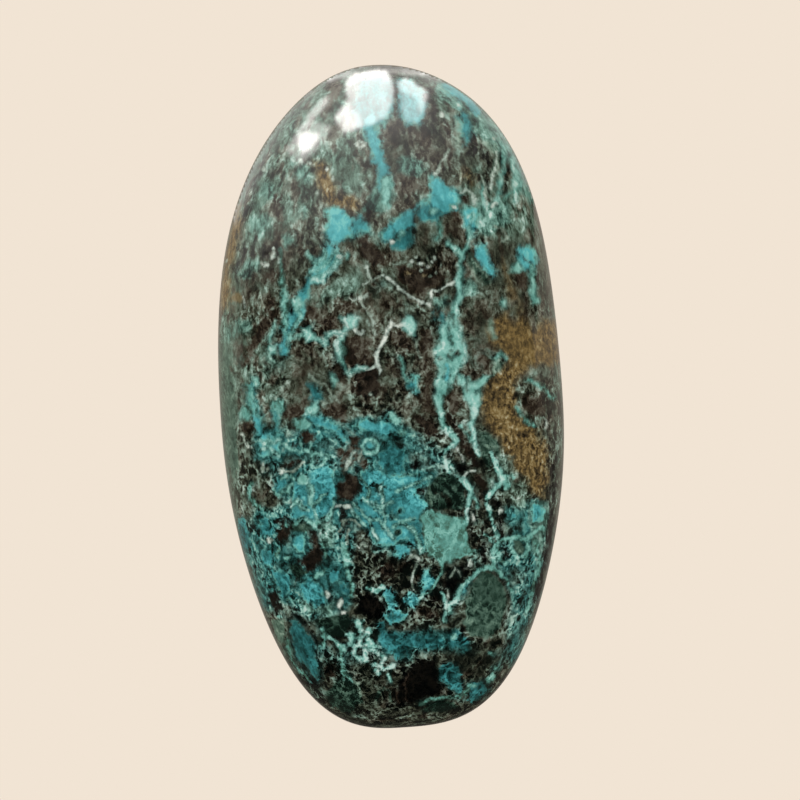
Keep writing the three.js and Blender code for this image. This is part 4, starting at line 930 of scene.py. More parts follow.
@dataclass(frozen=True)
class Oval:
    """The stone's outer form, the same as the CAD solid's, in millimetres."""

    length: float = 40.0
    width: float = 20.6
    thickness: float = 7.0
    bevel: float = 0.35
    power: float = 2.26
    spread: float = 2.4
    rounding: float = 2.3
    waves: tuple[Wave, ...] = (
        Wave(3, 0.11, 42),
        Wave(4, 0.06, -29),
        Wave(5, 0.065, 24),
        Wave(6, 0.045, -7),
        Wave(7, 0.1, -9.5),
    )

    def loose_rim(self, angle: np.ndarray) -> np.ndarray:
        """The rim before it is centred: a superellipse, made longer or shorter by the waves.

        Args:
            angle: Eccentric angles in radians.

        Returns:
            N by 2 places in plan.
        """
        cos, sin = np.cos(angle), np.sin(angle)
        fill = (np.abs(cos) ** self.power + np.abs(sin) ** self.power) ** (-1 / self.power)
        place = np.stack((self.width / 2 * fill * cos, self.length / 2 * fill * sin), axis=-1)
        reach = np.linalg.norm(place, axis=-1, keepdims=True)
        proud = sum(w.depth * np.cos(w.waves * (angle - np.radians(w.bearing))) for w in self.waves)
        return place * (1 + proud[..., None] / reach)

    def rim(self, angle: np.ndarray) -> np.ndarray:
        """The rim with its box centred on the origin."""
        loop = self.loose_rim(np.linspace(0, 2 * np.pi, 720, endpoint=False))
        return self.loose_rim(angle) - (loop.min(axis=0) + loop.max(axis=0)) / 2

    def height(self, share: np.ndarray) -> np.ndarray:
        """The dome's height, thickness * (1 - share^spread)^(1/rounding)."""
        return self.thickness * np.maximum(0, 1 - share**self.spread) ** (1 / self.rounding)

    def share(self, height: np.ndarray | float) -> np.ndarray:
        """The share of the way out at which the dome has come down to a height."""
        return (1 - (height / self.thickness) ** self.rounding) ** (1 / self.spread)

    def place(self, share: np.ndarray, angle: np.ndarray, height: np.ndarray) -> np.ndarray:
        """N by 3 places, at a share of the way out to the rim at an angle, at a height."""
        plan = self.rim(angle) * share[..., None]
        return np.concatenate((plan, height[..., None]), axis=-1)

    def ring(self, share: float, angle: np.ndarray, height: float) -> np.ndarray:
        """N by 3 places at one share of the way out and one height."""
        return self.place(np.full(len(angle), share), angle, np.full(len(angle), height))


class Sketch:
    """Short hand for wiring a material's nodes."""

    def __init__(self, tree: bpy.types.NodeTree) -> None:
        """Keeps the tree and empties it."""
        self.tree = tree
        tree.nodes.clear()

    def add(self, kind: str, inputs: dict | None = None, **settings: object) -> bpy.types.Node:
        """A new node.

        Args:
            kind: The node's type, without its ShaderNode prefix.
            inputs: Values or sockets by input name or number.
            **settings: The node's own properties.

        Returns:
            The node.
        """
        node = self.tree.nodes.new("ShaderNode" + kind)
        for name, value in settings.items():
            setattr(node, name, value)
        for name, value in (inputs or {}).items():
            if isinstance(value, bpy.types.NodeSocket):
                self.tree.links.new(value, node.inputs[name])
            else:
                node.inputs[name].default_value = value
        return node

    def attribute(self, name: str) -> bpy.types.NodeSocket:
        """The value of one of the piece's own attributes."""
        return self.add("Attribute", attribute_name=name).outputs["Fac"]

    def sum(self, *parts: object) -> bpy.types.NodeSocket:
        """A sum.

        Args:
            *parts: Sockets, numbers or (socket, factor) pairs.

        Returns:
            Their sum.
        """
        total: object = 0.0
        for part in parts:
            if isinstance(part, tuple):
                total = self.math("MULTIPLY_ADD", part[0], part[1], total)
            else:
                total = self.math("ADD", total, part)
        return total

    def math(self, operation: str, *values: object) -> bpy.types.NodeSocket:
        """One arithmetic step."""
        return self.add("Math", dict(enumerate(values)), operation=operation).outputs[0]

    def step(self, value: object, low: float, high: float) -> bpy.types.NodeSocket:
        """Rises smoothly from 0 at low to 1 at high, or falls where low is the higher."""
        inputs = {"Value": value, "From Min": low, "From Max": high}
        return self.add("MapRange", inputs, interpolation_type="SMOOTHSTEP").outputs["Result"]

    def shift(self, place: object, offset: object, factor: float = 1.0) -> bpy.types.NodeSocket:
        """A place moved by an offset times a factor."""
        inputs = {0: offset, 1: (factor,) * 3, 2: place}
        return self.add("VectorMath", inputs, operation="MULTIPLY_ADD").outputs[0]

    def stretch(self, place: object, scale: tuple[float, float, float]) -> bpy.types.NodeSocket:
        """A place scaled along each axis."""
        return self.add("VectorMath", {0: place, 1: scale}, operation="MULTIPLY").outputs[0]

    def noise(self, place: object, size: float, detail: float = 2.0, rough: float = 0.5) -> bpy.types.Node:
        """Cloudy noise round 0.5, with lumps about as big as size."""
        inputs = {"Vector": place, "Scale": 1 / size, "Detail": detail, "Roughness": rough}
        return self.add("TexNoise", inputs)

    def ridges(self, place: object, size: float, detail: float) -> bpy.types.NodeSocket:
        """Branching crests, near 1 along a crest and near 0.4 between.

        Args:
            place: Where to read them.
            size: About how far apart they are.
            detail: How many times they branch into finer ones.

        Returns:
            Their level.
        """
        inputs = {"Vector": place, "Scale": 1 / size, "Detail": detail, "Roughness": 0.5}
        inputs |= {"Offset": 1.0, "Gain": 1.0}
        kinds = {"noise_type": "RIDGED_MULTIFRACTAL", "normalize": False}
        return self.add("TexNoise", inputs, **kinds).outputs["Fac"]

    def ramp(self, value: object, stops: dict[float, Colour]) -> bpy.types.NodeSocket:
        """The colour at a value.

        Args:
            value: From 0 to 1.
            stops: Screen colours by the value at which each is reached.

        Returns:
            The colour, blended evenly between the stops.
        """
        node = self.add("ValToRGB", {"Fac": value})
        band = node.color_ramp.elements
        band.remove(band[1])
        for i, (place, colour) in enumerate(sorted(stops.items())):
            stop = band[0] if i == 0 else band.new(place)
            stop.position = place
            stop.color = linear(colour)
        return node.outputs["Color"]

    def over(self, factor: object, ground: object, top: object) -> bpy.types.NodeSocket:
        """One colour over another by a factor; a Mix node's colours are its inputs 6 and 7."""
        return self.add("Mix", {0: factor, 6: ground, 7: top}, data_type="RGBA").outputs[2]


@dataclass(frozen=True)
class Grain:
    """The solid noise that every mineral shares, as sockets, with places in millimetres."""

    place: bpy.types.NodeSocket
    bent: bpy.types.NodeSocket  # places swirled a little, so that cells and clouds curl
    tall: bpy.types.NodeSocket  # the same, drawn out along the stone
    fine: bpy.types.NodeSocket  # grains of a quarter of a millimetre
    clouds: bpy.types.NodeSocket  # lumps of a millimetre
    light: bpy.types.NodeSocket  # how pale the rock is, about 0.48 on average
    fray: bpy.types.NodeSocket  # how far outlines wander, in millimetres
    low: bpy.types.NodeSocket  # 0 in the upper half, 1 towards the dark end


@dataclass(frozen=True)
class Pigment:
    """How one mineral takes the rock's grain, and its colours from deep to pale."""

    grain: float  # how strongly the grain shows in it, at the dark end
    calm: float  # and in the upper half
    fray: float  # how far its outline wanders
    seep: float  # how far it reaches into pale grains of the rock, or draws back from them
    stops: dict[float, Colour]


@dataclass(frozen=True)
class PolishedRock:
    """The finish of the whole stone: banded minerals under a hand polish, ground flat on the back."""

    name: str = "polished_copper_rock"
    edge: float = 0.09  # half the width over which one mineral gives way to the next, at the dark end
    haze: float = 0.19  # and at the other end, but for the crisp white threads
    index: float = 1.54
    polish: float = 0.09  # roughness of the dome
    ground: float = 0.42  # roughness of the flat back
    back_height: float = 0.2  # below this the stone is ground, not polished
    pit_haze: float = 0.12  # how much rougher the pits are
    grain_haze: float = 0.06  # and the palest grains than the darkest
    swirl: float = 0.65  # how far the grain is curled, in millimetres
    swirl_size: float = 0.8  # this and the sizes below: about how big each noise's lumps are, in millimetres
    cloud_size: float = 1.3
    lump_size: float = 0.5
    fine_size: float = 0.27
    hair_size: float = 0.33
    hairy_size: float = 0.9  # areas with more or fewer hairs
    thread_size: float = 0.9  # and half of it for the finer threads
    busy_size: float = 2.2  # areas with more or less grain
    fray_size: float = 0.42
    drift_size: float = 1.5  # areas that are greener or browner
    rust_size: float = 0.8
    uneven_size: float = 2.4
    scratch_size: float = 1.6
    relief_depth: float = 0.02  # of the unevenness and the scratches, in millimetres
    dark_end: tuple[float, float] = (0.5, -4.5)  # where along Y the rock turns to its dark end
    bright_end: tuple[float, float] = (10.0, 6.0)  # and where its bright end gives way to the middle

    SEAM = (14, 32, 27)  # the dark line beside a vein
    MARGIN = (112, 184, 170)  # the pale skin of the blue-green
    ROCK = {
        0.0: (7, 11, 8), 0.15: (22, 24, 18), 0.3: (42, 44, 34), 0.42: (63, 67, 54), 0.55: (86, 94, 80),
        0.68: (105, 119, 105), 0.8: (130, 151, 137), 0.9: (153, 178, 165), 1.0: (186, 206, 194),
    }
    BROWN = {
        0.0: (6, 5, 3), 0.15: (26, 22, 15), 0.3: (46, 41, 32), 0.42: (63, 61, 49), 0.55: (86, 85, 72),
        0.68: (108, 113, 99), 0.8: (136, 147, 131), 0.9: (160, 178, 164), 1.0: (190, 206, 194),
    }
    SAGE = {
        0.0: (8, 16, 11), 0.15: (22, 32, 24), 0.3: (42, 56, 45), 0.42: (60, 80, 67), 0.55: (82, 108, 93),
        0.68: (103, 134, 118), 0.8: (126, 160, 144), 0.9: (150, 184, 170), 1.0: (186, 208, 198),
    }
    TEAL = {
        0.0: (5, 12, 10), 0.15: (15, 37, 33), 0.3: (29, 66, 62), 0.42: (43, 92, 88), 0.55: (58, 117, 114),
        0.68: (79, 145, 139), 0.8: (103, 168, 158), 0.9: (130, 188, 174), 1.0: (166, 206, 192),
    }
    OCHRE = {
        0.0: (22, 18, 11), 0.25: (58, 49, 33), 0.45: (91, 76, 47), 0.6: (121, 100, 60), 0.8: (148, 132, 92),
        1.0: (180, 174, 144),
    }
    CHALK = {
        0.0: (10, 22, 18), 0.2: (32, 52, 45), 0.4: (68, 100, 88), 0.55: (98, 138, 124), 0.7: (124, 168, 153),
        0.85: (158, 198, 185), 1.0: (206, 222, 212),
    }
    MARKS = {
        Mineral.CHLORITE: Pigment(1.0, 0.8, 0.8, 0.1, {
            0.0: (12, 24, 18), 0.25: (36, 58, 47), 0.55: (72, 98, 84), 0.8: (106, 134, 116),
            1.0: (150, 174, 156),
        }),
        Mineral.LIMONITE: Pigment(0.9, 0.9, 1.0, 0.0, {
            0.0: (36, 30, 20), 0.5: (100, 88, 58), 1.0: (168, 156, 122),
        }),
        Mineral.TENORITE: Pigment(1.2, 1.1, 1.3, -0.25, {
            0.0: (3, 5, 4), 0.25: (21, 18, 12), 0.5: (41, 33, 24), 0.75: (61, 54, 42), 1.0: (93, 91, 78),
        }),
        Mineral.CHRYSOCOLLA: Pigment(0.9, 0.6, 0.95, 0.2, {
            0.0: (10, 32, 29), 0.2: (26, 68, 66), 0.4: (44, 104, 104), 0.6: (62, 138, 139),
            0.78: (78, 162, 164), 0.9: (90, 178, 180), 1.0: (118, 196, 190),
        }),
        Mineral.MALACHITE: Pigment(0.85, 0.75, 0.75, 0.07, {
            0.0: (50, 80, 68), 0.2: (74, 114, 99), 0.4: (92, 150, 138), 0.6: (120, 177, 163),
            0.75: (138, 193, 180), 0.88: (157, 203, 190), 1.0: (188, 217, 206),
        }),
        Mineral.CALCITE: Pigment(0.8, 0.7, 0.5, 0.06, {
            0.0: (60, 72, 62), 0.3: (98, 116, 101), 0.55: (142, 160, 144), 0.75: (182, 200, 187),
            1.0: (220, 226, 214),
        }),
    }
    SHADED = (Mineral.CHRYSOCOLLA, Mineral.MALACHITE, Mineral.CALCITE)  # a dark seam runs beside these

    def material(self) -> bpy.types.Material:
        """Builds the material: the ground, then each mineral over it, then the gloss.

        Returns:
            The material.
        """
        made = bpy.data.materials.new(self.name)
        made.use_nodes = True
        g = Sketch(made.node_tree)
        metres = g.add("TexCoord").outputs["Object"]
        grain = self.grain(g, g.stretch(metres, (1 / MM,) * 3))
        colour = self.marks(g, grain, self.ground_colour(g, grain))
        back = g.step(g.add("SeparateXYZ", {0: grain.place}).outputs["Z"], self.back_height, 0.0)
        pits = g.step(g.attribute(Mineral.TENORITE.value), 0.0, 0.2)
        duller = (back, self.ground - self.polish), (pits, self.pit_haze), (grain.fine, self.grain_haze)
        shader = g.add("BsdfPrincipled", {
            "Base Color": colour,
            "Roughness": g.sum(*duller, self.polish - self.grain_haze / 2),
            "IOR": self.index,
            "Normal": self.touch(g, grain, back),
        })
        g.add("OutputMaterial", {"Surface": shader.outputs[0]})
        return made

    def touch(self, g: Sketch, grain: Grain, back: object) -> bpy.types.NodeSocket:
        """The finest relief: a soft unevenness of the polish, and long scratches on the ground back.

        Args:
            g: The material's nodes.
            grain: The rock's grain.
            back: 1 on the flat back, 0 on the dome.

        Returns:
            The bumped normal.
        """
        drawn_out = g.stretch(grain.place, (0.5, 14.0, 1.0))
        scratches = g.noise(drawn_out, self.scratch_size, 4, 0.7).outputs["Fac"]
        uneven = g.noise(grain.place, self.uneven_size, 2).outputs["Fac"]
        scored = g.math("MULTIPLY", scratches, back)
        relief = g.sum(g.sum((uneven, 1.0), (grain.fine, 0.02)), (scored, 0.7))
        distance = self.relief_depth * MM
        return g.add("Bump", {"Height": relief, "Distance": distance, "Strength": 0.5}).outputs[0]

    @staticmethod
    def thread(g: Sketch, place: object, size: float, width: float) -> bpy.types.NodeSocket:
        """1 along the winding lines where a cloudy noise passes through its middle value, else 0."""
        off = g.sum(g.noise(g.shift(place, (3.0, 1.0, 7.0)), size, 3, 0.6).outputs["Fac"], -0.5)
        return g.step(g.math("ABSOLUTE", off), width, 0.0)

    def grain(self, g: Sketch, place: object) -> Grain:
        """The shared noise: clouds, curling hairs, a streaked fine grain and threads that knit it.

        The rock is drawn out along the stone, more so towards +Y: it reads y as
        0.65 y - 0.2 sqrt((y - 6)^2 + 9), whose slope falls from 0.85 to 0.45. Each number beside a
        socket is that layer's share of the sum.

        Args:
            g: The material's nodes.
            place: Places in millimetres.

        Returns:
            The grain's sockets.
        """
        swirl = g.noise(place, self.swirl_size, 4, 0.62).outputs["Color"]
        bent = g.shift(place, g.shift((-0.5,) * 3, swirl), self.swirl)
        x, y, z = g.add("SeparateXYZ", {0: bent}).outputs
        lean = g.math("SQRT", g.sum(g.math("POWER", g.sum(y, -6.0), 2.0), 9.0))
        drawn = g.sum((y, 0.65), (lean, -0.2))
        tall = g.add("CombineXYZ", {0: x, 1: drawn, 2: z}).outputs[0]
        fine = g.noise(g.stretch(tall, (1.0, 0.9, 1.0)), self.fine_size, 3, 0.62).outputs["Fac"]
        clouds = g.noise(tall, self.cloud_size, 4, 0.6).outputs["Fac"]
        lumps = g.noise(tall, self.lump_size, 3, 0.62).outputs["Fac"]
        low, middle = g.step(y, *self.dark_end), g.step(y, *self.bright_end)
        mosaic = g.attribute(Ground.MOSAIC.value)
        hairy = g.noise(g.shift(tall, (5.0, 3.0, 1.0)), self.hairy_size, 3, 0.6).outputs["Fac"]
        hairy = g.math("MULTIPLY", hairy, g.sum((low, 0.5), 0.5))
        hairs = g.math("MULTIPLY", g.ridges(tall, self.hair_size, 1), hairy)
        broad = self.thread(g, tall, self.thread_size, 0.09)
        narrow = self.thread(g, tall, self.thread_size / 2, 0.07)
        knitted = g.sum((low, 0.6), (mosaic, -0.3), (middle, 0.4))
        knit = g.math("MULTIPLY", g.sum((broad, 0.26), (narrow, 0.17), -0.13), knitted)
        busy = g.noise(g.shift(place, (9.0, 2.0, 4.0)), self.busy_size, 2).outputs["Fac"]
        busy = g.sum((g.step(busy, 0.38, 0.6), 0.75), 0.55)
        detail = g.math("MULTIPLY", g.sum((fine, 0.85), (hairs, 0.21), knit, -0.46), busy)
        raw = g.sum((clouds, 0.75), (lumps, 0.75), detail, (low, -0.07), -0.78)
        calm, dark = g.attribute(Ground.CALM.value), g.attribute(Ground.DARK.value)
        gain = g.sum((calm, -0.6), (dark, 0.3), (low, -0.1), (mosaic, -0.12), 1.0)
        level = g.math("MULTIPLY_ADD", raw, gain, 0.5)
        light = g.sum((g.step(level, 0.1, 0.9), 0.6), (level, 0.5), -0.05)
        fray = g.sum((g.noise(place, self.fray_size, 5, 0.7).outputs["Fac"], 0.62), -0.31)
        return Grain(place, bent, tall, fine, clouds, light, fray, low)

    def ground_colour(self, g: Sketch, grain: Grain) -> bpy.types.NodeSocket:
        """The rock between the marks: brown to sage, turning blue-green or ochre in soft areas; its pale and
        mint areas along the rim are painted sheen.

        Args:
            g: The material's nodes.
            grain: The rock's grain.

        Returns:
            Its colour.
        """
        # Pale areas lighten the rock and turn it towards sage; along the rim this is painted sheen.
        pale, dark = g.attribute(Ground.PALE_AND_RIM_SHEEN.value), g.attribute(Ground.DARK.value)
        light = g.sum(grain.light, (pale, 0.12), (dark, -0.24))
        drift = g.noise(grain.bent, self.drift_size, 3).outputs["Fac"]
        rust = g.noise(grain.tall, self.rust_size, 4).outputs["Fac"]
        rust = g.sum(rust, (dark, 0.06), (pale, -0.04), (grain.low, -0.11), 0.02)
        green = g.sum((pale, 0.8), (drift, 0.8), -0.3)
        rock = g.over(green, g.ramp(light, self.ROCK), g.ramp(light, self.SAGE))
        rock = g.over(g.step(rust, 0.46, 0.64), rock, g.ramp(light, self.BROWN))
        near = [
            g.step(g.sum(g.attribute(mineral.value), (grain.fray, 1.2)), -0.5, 0.05)
            for mineral in (Mineral.CHRYSOCOLLA, Mineral.MALACHITE)
        ]
        wet = g.sum(
            (g.attribute(Ground.MOSAIC.value), 0.62), (near[0], 0.35), (near[1], 0.2), (drift, 1.2), -0.52
        )
        bold = g.sum((light, 1.3), -0.13)
        mixed = g.over(g.step(wet, 0.15, 0.95), rock, g.ramp(bold, self.TEAL))
        soak = g.sum(g.attribute(Ground.STAIN.value), (grain.clouds, 0.9), (grain.fray, 0.8), -0.45)
        gritty = g.sum((g.attribute(Ground.CALM.value), -1.1), 1.6)
        grit = g.math("MULTIPLY", g.sum(grain.fine, -0.5), gritty)
        ochre = g.ramp(g.sum(grit, (light, 0.5), 0.26), self.OCHRE)
        mixed = g.over(g.step(soak, 0.1, 0.85), mixed, ochre)
        # Mint areas turn the rock a chalky mint; along the rim this is painted sheen.
        chalk_and_rim_sheen = g.sum(g.attribute(Ground.MINT_AND_RIM_SHEEN.value), (grain.clouds, 1.1), (grain.fray, 0.8), -0.6)
        return g.over(g.step(chalk_and_rim_sheen, 0.3, 0.75), mixed, g.ramp(light, self.CHALK))

    def marks(self, g: Sketch, grain: Grain, colour: object) -> bpy.types.NodeSocket:
        """Each mineral where its distance field, roughened by the fray, is above 0.

        Args:
            g: The material's nodes.
            grain: The rock's grain.
            colour: The ground's colour.

        Returns:
            The colour with every mark on it.
        """
        shade = g.math("MULTIPLY", g.step(grain.clouds, 0.38, 0.6), g.sum((grain.low, 0.8), 0.2))
        centred = g.sum(grain.light, -0.5)
        for mineral, pigment in self.MARKS.items():
            depth = g.sum(g.attribute(mineral.value), (grain.fray, pigment.fray), (centred, pigment.seep))
            laid = g.attribute(mineral.value + "_tone")
            rough = g.sum((grain.low, pigment.grain - pigment.calm), pigment.calm)
            if mineral is Mineral.TENORITE:
                rough = g.math("MULTIPLY", rough, g.sum(laid, 0.25))
            tone = g.sum((laid, 0.84), (centred, rough), 0.04)
            if mineral in self.SHADED:
                seam = g.math("MULTIPLY", g.step(depth, -0.3, -0.06), shade)
                colour = g.over(g.math("MULTIPLY", seam, 0.6), colour, linear(self.SEAM))
            if mineral is Mineral.MALACHITE:
                tone = g.sum(tone, (g.step(depth, -0.03, 0.12), 0.2), -0.14)
            top = g.ramp(tone, pigment.stops)
            if mineral is Mineral.CHRYSOCOLLA:
                margin = g.math("MULTIPLY", g.step(depth, 0.16, 0.02), g.step(grain.clouds, 0.45, 0.6))
                margin = g.math("MULTIPLY", margin, g.step(laid, 0.1, 0.8))
                top = g.over(margin, top, linear(self.MARGIN))
            soft = self.edge if mineral is Mineral.CALCITE else self.haze
            crisp = soft if mineral is Mineral.TENORITE else self.edge
            sharp = g.sum((grain.low, 1 / crisp - 1 / soft), 1 / soft)
            colour = g.over(g.step(g.math("MULTIPLY", depth, sharp), -1.0, 1.0), colour, top)
        return colour


@dataclass
class Shell:
    """A surface grown ring by ring, as blocks of places and blocks of faces by corner number."""

    blocks: list[np.ndarray]
    faces: list[np.ndarray]

    def add(self, places: np.ndarray) -> np.ndarray:
        """Adds places and gives their numbers."""
        self.blocks.append(places)
        return np.arange(len(places)) + sum(len(block) for block in self.blocks[:-1])

    def stitch(self, *corners: np.ndarray) -> None:
        """Adds faces, whose corners stand in columns."""
        self.faces.append(np.stack(corners, axis=1))

    def band(self, outer: np.ndarray, inner: np.ndarray) -> None:
        """Adds the quads between two closed loops of as many vertices, facing down and out."""
        self.stitch(outer, inner, np.roll(inner, -1), np.roll(outer, -1))


@dataclass
class Cabochon:
    """The stone, as one closed surface with its marks laid on it."""

    oval: Oval = field(default_factory=Oval)
    finish: PolishedRock = field(default_factory=PolishedRock)
    across: int = 232  # cells of the dome's grid along X
    along: int = 360  # and along Y
    crown_spread: float = 1.03  # how widely the rings near the crown are spaced
    bevel_steps: tuple[float, ...] = (0.12, 0.5, 0.88, 1.0)  # rings down the bevel, close at its edges
    back_inset: float = 0.985  # the share of the back that its first thinned ring takes
    back_rings: int = 14
    thinning: int = 4  # the back has one vertex for this many of the rim's
    bend: float = 0.15  # how far solid noise bends the marks' outlines
    bend_length: float = 0.9  # over how long a way
    soft_edge: float = 0.6  # how far on each side of its outline a soft area fades
    mark_floor: float = 1.2  # below this height the marks give way to the rock's own grain
    calm_heights: tuple[float, float] = (3.4, 0.8)  # the grain fades from the first to the second
    swell: float = 0.02  # how deep the polish's faint swell is
    swell_length: float = 2.2
    swell_heights: tuple[float, float] = (2.5, 5.0)  # it is flat below these, and full above
    pit: float = 0.07  # how deep the pits in the darkest marks are
    pit_tones: tuple[float, float] = (0.6, 0.1)  # from the palest pitted tone to the deepest
    pit_wall: float = 0.2  # how wide their sloping edge is
    pit_heights: tuple[float, float] = (0.8, 2.0)

    def dome(self) -> tuple[np.ndarray, np.ndarray]:
        """The dome from crown to bevel, as a square grid drawn out onto the oval.

        The cell at (u, v), each from -1 to 1, lies on the ring t = max(|u|, |v|). Its angle runs
        evenly along the ring's four sides, and the share of the way out is the dome's rim share times
        sin(t * 90 degrees)^(2 / spread) blended with t, so that rings crowd on the steep girdle.

        Returns:
            N by 3 places and M by 4 corner numbers.
        """
        u, v = np.meshgrid(np.linspace(-1, 1, self.across + 1), np.linspace(-1, 1, self.along + 1))
        t = np.maximum(np.abs(u), np.abs(v))
        safe = np.where(t == 0, 1, t)
        sideways = np.abs(u) >= np.abs(v)
        turn = np.where(sideways, v * np.sign(u), -u * np.sign(v)) / safe * (np.pi / 4)
        base = np.where(sideways, np.where(u >= 0, 0, np.pi), np.where(v >= 0, np.pi / 2, -np.pi / 2))
        steep = np.sin(t * np.pi / 2) ** (2 / self.oval.spread)
        share = self.oval.share(self.oval.bevel) * ((1 - t**3) * t * self.crown_spread + t**3 * steep)
        places = self.oval.place(share, base + turn, self.oval.height(share))
        return places.reshape(-1, 3), grid_quads(self.across, self.along)

    def rim_loop(self) -> tuple[np.ndarray, np.ndarray]:
        """The dome grid's outer vertices, anticlockwise from a corner, each side a quarter turn.

        Returns:
            Their numbers and their angles.
        """
        a, b = self.across, self.along
        row = a + 1
        bottom = np.arange(a)
        right = a + row * np.arange(b)
        top = row * b + a - np.arange(a)
        left = row * (b - np.arange(b))
        eighth = np.pi / 4
        sides = (-3, a), (-1, b), (1, a), (3, b)
        angles = [start * eighth + np.arange(cells) / cells * 2 * eighth for start, cells in sides]
        return np.concatenate((bottom, right, top, left)), np.concatenate(angles)

    def surface(self) -> tuple[np.ndarray, list[np.ndarray]]:
        """The whole closed surface: the dome, the bevel with its softened edges, and the flat back.

        One wide row of the back thins its loop: each coarse vertex takes a fan of the fine ones round
        it, and a triangle closes the gap to the next.

        Returns:
            N by 3 places in millimetres, and blocks of faces by corner number.
        """
        places, dome = self.dome()
        shell = Shell([places], [dome])
        outer, angles = self.rim_loop()
        rim_share = float(self.oval.share(self.oval.bevel))
        back_share = rim_share - self.oval.bevel / (self.oval.width / 2)
        for down in self.bevel_steps:
            share = rim_share + (back_share - rim_share) * down
            inner = shell.add(self.oval.ring(share, angles, self.oval.bevel * (1 - down)))
            shell.band(outer, inner)
            outer = inner
        coarse, half = angles[:: self.thinning], self.thinning // 2
        back_share *= self.back_inset
        inner = shell.add(self.oval.ring(back_share, coarse, 0.0))
        nearest = (np.arange(len(outer)) + half) // self.thinning % len(coarse)
        shell.stitch(outer, inner[nearest], np.roll(outer, -1))
        shell.stitch(outer[half :: self.thinning], inner, np.roll(inner, -1))
        outer = inner
        for ring in range(1, self.back_rings):
            share = back_share * (1 - ring / self.back_rings)
            inner = shell.add(self.oval.ring(share, coarse, 0.0))
            shell.band(outer, inner)
            outer = inner
        centre = np.repeat(shell.add(np.zeros((1, 3))), len(coarse))
        shell.stitch(outer, centre, np.roll(outer, -1))
        return np.concatenate(shell.blocks), shell.faces

    def fields(self, places: np.ndarray) -> dict[str, np.ndarray]:
        """What the material reads at each vertex.

        Each mineral has the depth inside its marks and the tone of the mark that is deepest there. A
        later mark is cut out of the earlier ones of other minerals. Each kind of ground has a strength.

        Args:
            places: N places on the surface, in millimetres.

        Returns:
            N values by attribute name.
        """
        noise = SolidNoise(seed=11), SolidNoise(seed=12)
        x, y = (
            places[:, axis] + self.bend * noise[axis].layered(places, self.bend_length, 4)
            for axis in range(2)
        )
        sink = np.maximum(0, self.mark_floor - places[:, 2])
        values = {mineral.value: np.full(len(x), -1.0) for mineral in Mineral}
        values |= {mineral.value + "_tone": np.full(len(x), 0.5) for mineral in Mineral}
        values |= {ground.value: np.zeros(len(x)) for ground in Ground}
        for ground, areas in GROUNDS.items():
            for strength, outline in areas:
                inside = smooth_step(outline_depth(outline, x, y), -self.soft_edge, self.soft_edge)
                values[ground.value] = np.maximum(values[ground.value], strength * inside)
        girdle = smooth_step(places[:, 2], *self.calm_heights)
        values[Ground.CALM.value] = np.maximum(values[Ground.CALM.value], girdle)
        for mark in UPPER + MIDDLE + LOWER:
            low, high = mark.box()
            near = np.flatnonzero((x > low[0]) & (x < high[0]) & (y > low[1]) & (y < high[1]))
            depth = mark.depth(x[near], y[near]) - sink[near]
            own = values[mark.mineral.value]
            tone = values[mark.mineral.value + "_tone"]
            tone[near] = np.where(depth > np.minimum(own[near], 0.0), mark.tone, tone[near])
            own[near] = np.maximum(own[near], depth)
            for other in Mineral:
                if other is not mark.mineral:
                    rest = values[other.value]
                    rest[near] = np.minimum(rest[near], -depth)
        return values

    def relief(self, places: np.ndarray, fields: dict[str, np.ndarray]) -> np.ndarray:
        """How far each place lies under the true dome: a faint swell of the hand polish, and pits.

        The swell is cloudy noise between 0 and its depth. A pit is a dark mark: it sinks smoothly over
        its wall inside the outline, and the deeper the darker it is. Nothing sinks at the foot.

        Args:
            places: N places on the surface, in millimetres.
            fields: The marks' depths and tones there.

        Returns:
            N depths in millimetres.
        """
        cloudy = np.clip(SolidNoise(seed=13).layered(places, self.swell_length, 2), -1, 1)
        swell = self.swell * (0.5 + 0.5 * cloudy)
        dark = smooth_step(fields[Mineral.TENORITE.value + "_tone"], *self.pit_tones)
        pit = self.pit * dark * smooth_step(fields[Mineral.TENORITE.value], 0.0, self.pit_wall)
        height = places[:, 2]
        swell *= smooth_step(height, *self.swell_heights)
        return swell + pit * smooth_step(height, *self.pit_heights)

    def build(self) -> bpy.types.Object:
        """Makes the mesh, its attributes and its material.

        Returns:
            The stone.
        """
        places, faces = self.surface()
        fields = self.fields(places)
        places[:, 2] -= self.relief(places, fields)
        stone = new_piece("polished_stone", places * MM, faces, fields, self.finish.material())
        stone.data.shade_smooth()
        stone.data.update()
        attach(stone, "root")
        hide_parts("stone")
        return stone


@dataclass(frozen=True)
class Pane:
    """A part of the window's light, by its mirror image on the dome, in plan."""

    outline: Outline
    strength: float
    softness: float = 0.16  # how far on each side of its outline it fades

    def light(self, x: np.ndarray, y: np.ndarray, proud: np.ndarray | float = 0.0) -> np.ndarray:
        """Its light at places in plan, where proud widens its outline."""
        depth = outline_depth(self.outline, x, y) + proud
        return self.strength * smooth_step(depth, -self.softness, self.softness)


